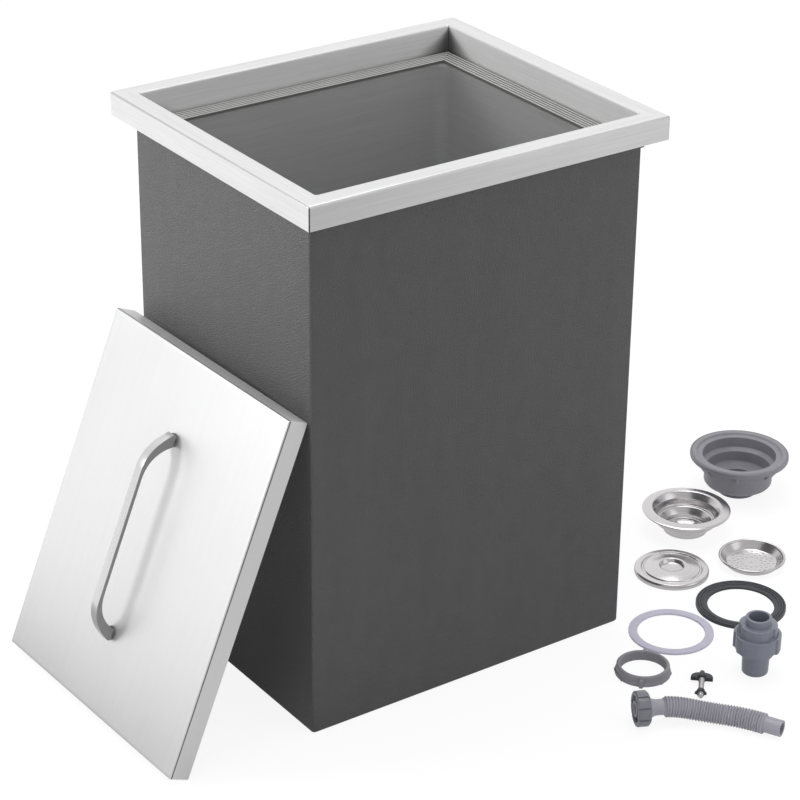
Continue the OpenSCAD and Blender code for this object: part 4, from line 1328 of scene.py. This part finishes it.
class ICEBIN_OT_lid(bpy.types.Operator):
    """Builds the lid with its two pans, its handle, its feet and its screws"""

    bl_idname = "icebin.lid"
    bl_label = "Lid"

    def execute(self, context):
        finish, sizes = context.scene.ice_bin_finish, context.scene.ice_bin_sizes
        place = self.leaning()
        on_top = place @ Matrix.Translation((0, 0, LID_T))
        steel = brushed_steel("Lid steel", finish.steel, finish.steel_roughness + 0.04, 0.25)
        self.pan("lid_face_pan", self.top_rings(sizes), place, steel, "lid_steel", "lid_top_pan")
        dull = brushed_steel("Lid inner steel", finish.tub_steel, finish.steel_roughness + 0.04, 0.8)
        self.pan("lid_inner_pan", self.bottom_rings(), place, dull, "tub_steel", "lid_bottom_pan")
        self.handle(finish, on_top)
        self.feet(on_top)
        screws = NODES["handle_screws"].data.materials
        screws.clear()
        screws.append(moulded("Screw steel", SCREW_COLOUR, 0.35, 900, 0.01, 0.05, metallic=1.0))
        return {"FINISHED"}

    def leaning(self):
        """The lid's place: drawn flat, then leaned on the bin and turned a little."""
        lean, turn = math.radians(LID_LEAN), math.radians(LID_TURN)
        side = box_mm("rim_frame")[0].x + OVERHANG_X
        foot = side - LEAN_GAP - LID_W * math.sin(lean) * math.cos(turn) - LID_D / 2 * math.sin(turn)
        return (
            Matrix.Translation((foot, LID_OFFSET, 0)) @ Matrix.Rotation(turn, 4, "Z")
            @ Matrix.Rotation(lean - math.pi / 2, 4, "Y") @ Matrix.Translation((LID_W / 2, 0, 0))
        )

    def top_rings(self, sizes):
        """The face pan from inside its top, round its edge and groove, to its face."""
        groove, bend = sizes.lid_groove / MM, 1.0
        profile = [(LID_SHEET, LID_T - LID_SHEET), (LID_SHEET, 0), (0, 0), (0, LID_T - 2.3)]
        profile += [(groove, LID_T - 2.1), (groove, LID_T - 1.35), (0.05, LID_T - 1.15)]
        profile += [(bend - x, LID_T - bend + z) for x, z in turned_round((0, 0, bend), 4)]
        profile += [(3.5, LID_T)]
        return [
            oblong(LID_W - 2 * inset, LID_D - 2 * inset, max(1.0 - inset * 0.5, 0.4), z, 4, 1)
            for inset, z in profile
        ]

    def bottom_rings(self):
        """The shallow pan that closes the lid from below."""
        edge = LID_SHEET + 0.05
        profile = [
            (edge + LID_SHEET, LID_SHEET), (edge + LID_SHEET, 9), (edge, 9), (edge, 0.7), (edge + 0.2, 0.2),
            (edge + 0.7, 0), (edge + 4, 0),
        ]
        return [oblong(LID_W - 2 * inset, LID_D - 2 * inset, 0.5, z, 4, 1) for inset, z in profile]

    def pan(self, name, rings, place, paint, slot, node):
        bm = bmesh.new()
        shell(bm, rings)
        bmesh.ops.recalc_face_normals(bm, faces=bm.faces)
        map_brushing(bm, round_the_walls)

        # Painted shade in the groove round the face, and a darker line along the upper edge.
        def painted_shade_map(point):
            if LID_T - 2.2 < point.z < LID_T - 1.2:
                return 1.0
            return 0.7 if point.z > LID_T - 1.2 and point.x > LID_W / 2 - 0.35 else 0.0

        def satin(point):
            if point.z > LID_T - 1.0:
                return 0.0
            return 1.0 if point.x > LID_W / 2 - 0.7 else 0.4

        map_points(bm, "PaintedShade", painted_shade_map)
        map_points(bm, "Satin", satin)
        settle(new_piece(name, bm, place, keep_sharp=28), paint, "lid", slot, node)

    def handle(self, finish, place):
        bm = bmesh.new()
        side_prism(bm, self.bow(), HANDLE_W)
        bmesh.ops.recalc_face_normals(bm, faces=bm.faces)
        ease_edges(bm, 0.6, 3, over=40)
        map_brushing(bm, lambda n, middle: (1, 0, 0) if abs(n.z) > 0.3 or abs(n.y) > 0.3 else (0, 0, 1))

        # Painted shade on the handle's sides, and a lighter painted shade towards its two low ends.
        def painted_shade_map(point):
            if abs(point.y) > HANDLE_W / 2 - 0.1:
                return 0.6
            return 0.4 if point.z < HANDLE_FOOT_H + HANDLE_END_H + 4 else 0.0

        map_points(bm, "PaintedShade", painted_shade_map)
        paint = brushed_steel("Handle steel", finish.handle, finish.steel_roughness - 0.06, 0.5)
        bow = new_piece("lid_handle_bow", bm, place, keep_sharp=28)
        settle(bow, paint, "lid", "handle_steel", "lid_handle")

    def bow(self):
        """The handle's side view: a flat bar that bends down to two blunt ends and widens on the way."""
        foot_in, foot_out = (HANDLE_SPAN - HANDLE_FOOT) / 2, (HANDLE_SPAN + HANDLE_FOOT) / 2
        low, knee_x, under = HANDLE_FOOT_H, HANDLE_STRAIGHT / 2, HANDLE_H - HANDLE_T
        corner_x = knee_x + (foot_out + 1 - knee_x) * 0.6
        half = bend((knee_x, HANDLE_H), (corner_x, HANDLE_H), (foot_out + 1, low + HANDLE_END_H), 20)
        half.append((foot_out, low))
        half += bend((foot_in, low), (foot_in - 9, under), (knee_x - 8, under), 20)
        return half + [(-x, z) for x, z in reversed(half)]

    def feet(self, place):
        paint = moulded("Foot dark", FOOT_COLOUR, 0.5, 900, 0.01, 0.1)
        foot = bmesh.new()
        lathe(foot, [
            (2.2, 0), (HANDLE_FOOT_R, 0), (HANDLE_FOOT_R, HANDLE_FOOT_H), (2.2, HANDLE_FOOT_H),
        ], 48, 0.3)
        foot.transform(Matrix.Translation((HANDLE_SPAN / 2, 0, 0)))
        bm = bmesh.new()
        add_copies(bm, foot, paint, 2)
        settle(new_piece("handle_feet_round", bm, place), paint, "lid", "foot_dark", "handle_feet")


class ICEBIN_OT_drain_body(bpy.types.Operator):
    """Builds the moulded drain body that hangs under the bin, with its threaded insert"""

    bl_idname = "icebin.drain_body"
    bl_label = "Drain body"

    def execute(self, context):
        finish = context.scene.ice_bin_finish
        place = stand("drain_body")
        r, h = radius_of("drain_body"), box_mm("drain_body")[1].z
        paint = moulded("Fitting grey", finish.fittings, 0.42, 850, 0.015, 0.07, coat_weight=0.1)
        bm = bmesh.new()
        step, bowl, outlet, thread = 36, 31, 17, 19.5
        lathe(bm, [
            (outlet, 0), (thread - 0.4, 0), (thread - 0.4, 9.5), (bowl + 0.5, 9.5), (bowl + 2.5, 12, 1.5),
            (bowl + 2.5, 24.5), (step + 2.5, 27), (step + 2.5, h - 5), (r - 1, h - 5), (r, h - 4),
            (r, h - 0.8), (r - 0.7, h), (r - 1.2, h, 0.1), (r - 1.6, h - 0.7, 0.2), (r - 2, h, 0.1),
            (r - 6.3, h, 0.8), (r - 7.5, h - 2), (step, h - 2, 0.8), (step, 29.5), (bowl, 27, 0.8),
            (bowl, 16.5, 1.5), (bowl - 2, 14.5), (outlet, 14.5),
        ], 144)
        add_thread(bm, paint, thread - 0.45, 1.8, 0.9, 8.6, 0.45)
        rib = bmesh.new()
        side_prism(rib, [(step + 2, 27), (r - 2, h - 4.9), (step + 2, h - 4.9)], 2)
        add_copies(bm, rib, paint, 8)
        add_copies(bm, block(12, 3, 9.5, 14.5, 5.2, 0.4), paint, 4, 45)
        lathe(bm, [
            (4.05, 7), (7, 7), (7, 16.6, 0.6), (5.7, 17), (5.4, 15.9, 0.2), (4.05, 15.9),
        ], 64, 0.3)
        body = new_piece("drain_body_moulded", bm, place, keep_sharp=35)
        settle(body, paint, "drain_body_loose", "fitting_grey", "drain_body")
        core = bmesh.new()
        lathe(core, [(2.55, 7), (3.98, 7), (3.98, 16.4, 0.9), (2.9, 17), (2.55, 16.6)], 48, 0.25)
        add_thread(core, paint, 2.62, 0.8, 7.6, 16, 0.12)
        insert = new_piece("thread_insert_turned", core, place)
        metal = moulded("Insert metal", finish.insert, 0.35, 700, 0.01, 0.08, metallic=1.0)
        settle(insert, metal, "drain_body_loose", "insert_steel", "thread_insert")
        return {"FINISHED"}


class ICEBIN_OT_drain_flange(bpy.types.Operator):
    """Builds the turned steel flange that seats in the tub's floor"""

    bl_idname = "icebin.drain_flange"
    bl_label = "Drain flange"

    def execute(self, context):
        finish = context.scene.ice_bin_finish
        lip, top = radius_of("drain_flange"), box_mm("drain_flange")[1].z
        throat, shelf, well, outlet, t = 28.5, 25, 20, 16, 1.2
        paint = turned_steel("Flange steel", "drain_flange", finish.drain_steel, 0.22)
        bm = bmesh.new()
        lathe(bm, [
            (outlet, 0), (well + t, 0), (well + t, 5), (shelf + t, 8), (throat + t, 10),
            (throat + t, top - 6.4), (throat + t + 4.5, top - 2.6), (lip - 0.6, top - 3.1),
            (lip, top - 2.6, 0.3), (lip, top - 1.9, 0.3), (lip - 1.6, top - 1.0), (throat + 6, top),
            (throat + 4.2, top - 0.5), (throat, top - 6, 1.5), (throat, 12.2), (throat - 0.9, 11, 0.5),
            (shelf, 11, 0.8), (well, 5, 0.8), (well, t + 0.6), (well - 0.6, t), (outlet, t),
        ], 160, 0.5)
        add_copies(bm, self.arm(outlet), paint, 4, 45)
        lathe(bm, [(3.2, 0), (6, 0), (6, 2.4), (5.2, 3), (4.4, 3), (4.0, 2.2), (3.2, 2.2)], 64, 0.3)
        flange = new_piece("drain_flange_turned", bm, stand("drain_flange"), keep_sharp=35)
        settle(flange, paint, "drain_flange_loose", "drain_steel", "drain_flange")
        return {"FINISHED"}

    def arm(self, outlet):
        """One pressed arm that flares where it meets the outlet's edge, with a raised middle."""
        end = outlet + 0.7
        side = [(5, 1.6), (8, 1.4), (11, 1.5), (13.4, 2.1), (15, 3.3), (end, 5.2)]
        arm = bmesh.new()
        plate(arm, side + [(x, -y) for x, y in reversed(side)], 0.05, 1.15)
        ridge = bmesh.new()
        side_prism(ridge, [(5, 1.0), (end - 1.5, 1.0), (end - 3, 1.9), (5.6, 2.0)], 1.3)
        join(arm, ridge)
        bmesh.ops.recalc_face_normals(arm, faces=arm.faces)
        ease_edges(arm, 0.25)
        return arm


class ICEBIN_OT_strainer(bpy.types.Operator):
    """Builds the perforated strainer dish"""

    bl_idname = "icebin.strainer"
    bl_label = "Strainer"

    def execute(self, context):
        finish, sizes = context.scene.ice_bin_finish, context.scene.ice_bin_sizes
        r, h = radius_of("strainer"), box_mm("strainer")[1].z
        bead, floor, t = 1.3, 24.5, 1.0
        outline = [(0, 0), (floor - 0.9, 0), (floor + 0.4, 0.8, 0.8)]
        outline += [(r - 2 * bead + 0.3, h - bead - 1.2, 0.4)]
        outline += [(x, z, 0) for x, z in turned_round((r - bead, h - bead, bead), 12, 215, 540)]
        outline += [(r - 2 * bead - 0.25, h - bead - 0.6, 0.2), (floor - 0.4, t + 0.8, 0.8)]
        outline += [(floor - 1.6, t), (0, t)]
        paint = turned_steel("Strainer steel", "strainer", finish.drain_steel, 0.2)
        bm = bmesh.new()
        lathe(bm, outline, 144)
        bm = grown(
            seed("Dish", bm), holes_tree(STRAINER_RINGS), paint, holes=sizes.strainer_holes,
            hole_radius=STRAINER_HOLE_R,
        )
        strainer = new_piece("strainer_dish", bm, stand("strainer"), keep_sharp=35)
        settle(strainer, paint, "strainer_loose", "drain_steel", "strainer")
        return {"FINISHED"}


class ICEBIN_OT_plug_cover(bpy.types.Operator):
    """Builds the turned plug cover"""

    bl_idname = "icebin.plug_cover"
    bl_label = "Plug cover"

    def execute(self, context):
        finish = context.scene.ice_bin_finish
        r, t = radius_of("plug_cover"), 0.9
        edge, groove, dimple, rise = 5.0, 27.3, 11.0, 7.8
        face = [
            (0, edge - 1), (dimple - 0.8, edge - 1, 0.5), (dimple + 0.7, rise - 0.4, 0.4),
            (dimple + 2.4, rise, 1.0), (groove - 1.6, edge, 0.4), (groove - 0.7, edge - 1.3, 0.4),
            (groove + 0.7, edge - 1.3, 0.4), (groove + 1.6, edge, 0.4), (r - 1.4, edge, 0.6),
            (r, edge - 1.6, 0.6), (r, 0, 0.2),
        ]
        under = [(max(0, x - 0.6 * t), z - t, *own) for x, z, *own in reversed(face[1:-2])]
        wall = [(r - t, 0, 0.2), (r - t, edge - 1.6 - 0.7 * t, 0.4)]
        outline = face + wall + under[1:] + [(0, edge - 1 - t)]
        paint = turned_steel("Cover steel", "plug_cover", finish.drain_steel, 0.2)
        bm = bmesh.new()
        lathe(bm, outline, 160, 0.4)
        cover = new_piece("plug_cover_turned", bm, stand("plug_cover"), keep_sharp=35)
        settle(cover, paint, "plug_cover_loose", "drain_steel", "plug_cover")
        return {"FINISHED"}


class ICEBIN_OT_seals(bpy.types.Operator):
    """Builds the rubber gasket and the slip washer"""

    bl_idname = "icebin.seals"
    bl_label = "Gasket and washer"

    def execute(self, context):
        finish = context.scene.ice_bin_finish
        r, h = radius_of("rubber_gasket"), box_mm("rubber_gasket")[1].z
        rubber = moulded("Gasket rubber", finish.rubber, 0.36, 1200, 0.015, 0.12)
        bm = bmesh.new()
        inner = SEAL_BORE_R
        outline = [(inner, 0), (r, 0), (r, h - 0.5)]
        for outer in (r, r - 2.4, r - 4.8):
            outline += [(outer - 0.2, h, 0.15), (outer - 1.5, h, 0.15)]
            outline += [(outer - 1.8, h - 0.7), (outer - 2.2, h - 0.7)]
        outline += [(r - 7.0, h - 0.5), (inner + 0.5, h - 1.3), (inner, h - 1.7)]
        lathe(bm, outline, 160, 0.25)
        add_copies(bm, block(6.6, 0.7, h - 0.9, h - 0.02, r - 6.9, 0.15), rubber, 8, 12)
        gasket = new_piece("gasket_ribbed", bm, stand("rubber_gasket"), keep_sharp=40)
        settle(gasket, rubber, "gasket_loose", "gasket_rubber", "rubber_gasket")
        r, h = radius_of("slip_washer"), box_mm("slip_washer")[1].z
        white = moulded("Washer white", finish.washer, 0.38, 600, 0.008, 0.03)
        bm = bmesh.new()
        lathe(bm, [(inner, 0), (r, 0), (r, h), (inner, h)], 144, 0.5)
        washer = new_piece("slip_washer_flat", bm, stand("slip_washer"))
        settle(washer, white, "washer_loose", "washer_clear", "slip_washer")
        return {"FINISHED"}


class ICEBIN_OT_ring_nut(bpy.types.Operator):
    """Builds the ring nut with its two lugs"""

    bl_idname = "icebin.ring_nut"
    bl_label = "Ring nut"

    def execute(self, context):
        finish = context.scene.ice_bin_finish
        h, r, bore = box_mm("ring_nut")[1].z, RING_NUT_R, 19.9
        paint = moulded("Ring nut grey", finish.fittings, 0.42, 850, 0.015, 0.07, coat_weight=0.1)
        bm = bmesh.new()
        lathe(bm, [
            (bore, 0), (r, 0), (r, 2.6), (r - 1.2, 3.2), (r - 1.2, h - 0.9), (r - 2.1, h), (bore + 0.8, h),
            (bore, h - 0.8),
        ], 144, 0.4)
        add_thread(bm, paint, bore + 0.1, 1.8, 1.2, h - 1.4, 0.3)
        lug = block(5.1, 3.4, 0.1, h - 1.4, r - 2.4, 0.6)
        end = bmesh.new()
        lathe(end, [(0, 0.1), (2.1, 0.1), (2.1, h - 2), (0, h - 2)], 24, 0.5)
        join(lug, end, Matrix.Translation((r + 0.7, 0, 0)))
        add_copies(bm, lug, paint, 2)
        for start in (45, 90, 135):
            add_copies(bm, block(2.9, 2.4, 0.1, 2.2, r - 2.3, 0.3), paint, 2, start)
        nut = new_piece("ring_nut_lugged", bm, stand("ring_nut"), keep_sharp=40)
        settle(nut, paint, "ring_nut_loose", "fitting_grey", "ring_nut")
        return {"FINISHED"}


class ICEBIN_OT_union(bpy.types.Operator):
    """Builds the hose union: two pipe ends, a seal and a lobed nut"""

    bl_idname = "icebin.union"
    bl_label = "Hose union"

    def execute(self, context):
        finish, sizes = context.scene.ice_bin_finish, context.scene.ice_bin_sizes
        place = stand("union_tail")
        bore, pipe, collar = 9, 12, 15
        tail_top = box_mm("union_tail")[1].z
        grey = moulded("Union grey", finish.union, 0.3, 850, 0.012, 0.06, coat_weight=0.3)
        bm = bmesh.new()
        lathe(bm, [
            (bore, 0), (pipe - 1.6, 0, 0.8), (pipe - 0.35, 1.2, 1.0), (pipe, 12, 2), (pipe, 19), (collar, 19),
            (collar, 23.5), (pipe, 23.5), (pipe, 26.4), (17, 26.4), (17, tail_top), (bore, tail_top),
        ], 128, 0.45)
        tail = new_piece("union_tail_turned", bm, place, keep_sharp=38)
        settle(tail, grey, "union_loose", "fitting_grey", "union_tail")
        low, high = box_mm("union_seal")
        r = radius_of("union_seal")
        bm = bmesh.new()
        lathe(bm, [(bore, low.z), (r, low.z), (r, high.z), (bore, high.z)], 64, 0.3)
        rubber = moulded("Seal rubber", finish.rubber, 0.5, 1200, 0.02, 0.1)
        settle(new_piece("union_seal_ring", bm, place), rubber, "union_loose", "gasket_rubber", "union_seal")
        self.upper(grey, place, bore)
        self.nut(finish, sizes, place)
        return {"FINISHED"}

    def upper(self, grey, place, bore):
        low, high = box_mm("union_top")
        collar_low, r, pipe = box_mm("union_nut")[1].z + 0.3, 17, 11.5
        collar_high = collar_low + 9
        bm = bmesh.new()
        lathe(bm, [
            (bore, low.z), (17.5, low.z), (17.5, collar_low, 0.2), (r, collar_low, 0.2),
            (r, collar_high, 0.7), (pipe + 0.1, collar_high), (pipe, collar_high + 1), (pipe, high.z, 0.7),
            (bore, high.z),
        ], 240, 0.4)
        bm = grown(
            seed("Collar", bm), lobes_tree(), grey, lobes=3, start=math.radians(UNION_GROOVE), depth=1.4,
            outside=r - 2, edge=0.78, slope=0.06, low=collar_low + 0.1, high=99.0,
        )
        add_thread(bm, grey, 17.3, 2.2, low.z + 0.8, low.z + 6, 0.3)
        top = new_piece("union_top_turned", bm, place, keep_sharp=38)
        settle(top, grey, "union_loose", "fitting_grey", "union_top")

    def nut(self, finish, sizes, place):
        low, high = box_mm("union_nut")
        r = radius_of("union_nut")
        paint = moulded("Union nut grey", finish.union, 0.3, 800, 0.012, 0.07, coat_weight=0.3)
        bm = bmesh.new()
        lathe(bm, [
            (15.6, low.z), (r - 1.5, low.z), (r, low.z + 1.3), (r, high.z, 0.6), (17.8, high.z),
            (17.8, low.z + 2.5), (15.6, low.z + 2.5),
        ], 240, 0.5)
        bm = grown(
            seed("Union nut", bm), lobes_tree(), paint, lobes=sizes.union_lobes,
            start=math.radians(UNION_GROOVE), depth=1.7, outside=r - 2.5, edge=0.74, slope=0.07,
        )
        nut = new_piece("union_nut_lobed", bm, place, keep_sharp=38)
        settle(nut, paint, "union_nut_turning", "nut_grey", "union_nut")


class ICEBIN_OT_clamp_bolt(bpy.types.Operator):
    """Builds the clamp bolt with its moulded head and its small wing nut"""

    bl_idname = "icebin.clamp_bolt"
    bl_label = "Clamp bolt"

    def execute(self, context):
        finish = context.scene.ice_bin_finish
        place = Matrix.Translation((*BOLT_AT, BOLT_AXIS)) @ turn_by(FITTINGS_TURN) @ turn_by(90, "Y")
        black = moulded("Bolt black", finish.bolt, 0.4, 700, 0.02, 0.15)
        bm = self.wings(WING_SPAN / 2, 9.0, 1.4, 3.6)
        lathe(bm, [
            (STUD_R, 0), (3.7, 0), (BOLT_AXIS, 0.9), (BOLT_AXIS, 6.2, 1.5), (2.5, 9.3, 1.0), (2.2, 11.9, 0.6),
            (1.4, 12.5), (0, 12.5), (0, 6.1), (STUD_R, 6.1),
        ], 64, 0.5)
        head = new_piece("bolt_head_winged", bm, place, keep_sharp=40)
        settle(head, black, "bolt_loose", "bolt_black", "bolt_head")
        bm = bmesh.new()
        lathe(bm, [
            (0, -STUD_LEN), (STUD_R - 0.8, -STUD_LEN), (STUD_R - 0.3, 0.5 - STUD_LEN),
            (STUD_R - 0.3, 5.9), (0, 5.9),
        ], 48, 0.2)
        steel = moulded("Stud steel", finish.drain_steel, 0.3, 900, 0.01, 0.06, metallic=1.0)
        add_thread(bm, steel, STUD_R - 0.33, 0.8, 0.6 - STUD_LEN, 0, 0.33)
        stud = new_piece("bolt_stud_threaded", bm, place, keep_sharp=40)
        settle(stud, steel, "bolt_loose", "screw_steel", "bolt_stud")
        low = 4 - STUD_LEN
        bm = self.wings(WING_NUT_SPAN / 2, 4.7, 0.6, 2.0)
        lathe(bm, [(2.56, 0), (3.6, 0), (3.6, 5), (2.56, 5)], 48, 0.4)
        bm.transform(Matrix.Translation((0, 0, low)))
        nut = new_piece("wing_nut_moulded", bm, place, keep_sharp=40)
        settle(nut, black, "wing_nut_turning", "bolt_black", "wing_nut")
        return {"FINISHED"}

    def wings(self, half_span, height, foot, thickness):
        """A flat half-disc of wings in Y and Z, thin along X, with its edges eased."""
        outline = [(-half_span, 0), (half_span, 0)]
        outline += [
            (half_span * math.cos(a) ** 0.8 if math.cos(a) > 0 else -half_span * abs(math.cos(a)) ** 0.8,
             foot + (height - foot) * math.sin(a))
            for a in [math.pi * k / 24 for k in range(25)]
        ]
        bm = bmesh.new()
        side_prism(bm, outline, thickness)
        bmesh.ops.recalc_face_normals(bm, faces=bm.faces)
        ease_edges(bm, 0.35, over=40)
        bm.transform(turn_by(90))
        return bm


# Panel, registration and the run

BUILDERS = (
    ICEBIN_OT_stage, ICEBIN_OT_hose, ICEBIN_OT_rim, ICEBIN_OT_ledge, ICEBIN_OT_tub, ICEBIN_OT_jacket,
    ICEBIN_OT_foam, ICEBIN_OT_lid, ICEBIN_OT_drain_body, ICEBIN_OT_drain_flange, ICEBIN_OT_strainer,
    ICEBIN_OT_plug_cover, ICEBIN_OT_seals, ICEBIN_OT_ring_nut, ICEBIN_OT_union, ICEBIN_OT_clamp_bolt,
)


class ICEBIN_PT_builder(bpy.types.Panel):
    """Lists the ice bin's builders and the values that they use"""

    bl_idname = "ICEBIN_PT_builder"
    bl_label = "Ice bin"
    bl_space_type = "VIEW_3D"
    bl_region_type = "UI"
    bl_category = "Ice bin"

    def draw(self, context):
        for group in (context.scene.ice_bin_finish, context.scene.ice_bin_sizes):
            column = self.layout.column(align=True)
            for name in group.bl_rna.properties.keys():
                if name not in ("rna_type", "name"):
                    column.prop(group, name)
        for builder in BUILDERS:
            self.layout.operator(builder.bl_idname)


CLASSES = (IceBinFinish, IceBinSizes, *BUILDERS, ICEBIN_PT_builder)


def register():
    for cls in CLASSES:
        bpy.utils.register_class(cls)
    bpy.types.Scene.ice_bin_finish = PointerProperty(type=IceBinFinish)
    bpy.types.Scene.ice_bin_sizes = PointerProperty(type=IceBinSizes)


def unregister():
    del bpy.types.Scene.ice_bin_sizes
    del bpy.types.Scene.ice_bin_finish
    for cls in reversed(CLASSES):
        bpy.utils.unregister_class(cls)


def main():
    register()
    bpy.ops.icebin.stage()
    bpy.ops.icebin.hose()
    bpy.ops.icebin.rim()
    bpy.ops.icebin.ledge()
    bpy.ops.icebin.tub()
    bpy.ops.icebin.jacket()
    bpy.ops.icebin.foam()
    bpy.ops.icebin.lid()
    bpy.ops.icebin.drain_body()
    bpy.ops.icebin.drain_flange()
    bpy.ops.icebin.strainer()
    bpy.ops.icebin.plug_cover()
    bpy.ops.icebin.seals()
    bpy.ops.icebin.ring_nut()
    bpy.ops.icebin.union()
    bpy.ops.icebin.clamp_bolt()


if __name__ == "__main__":
    main()
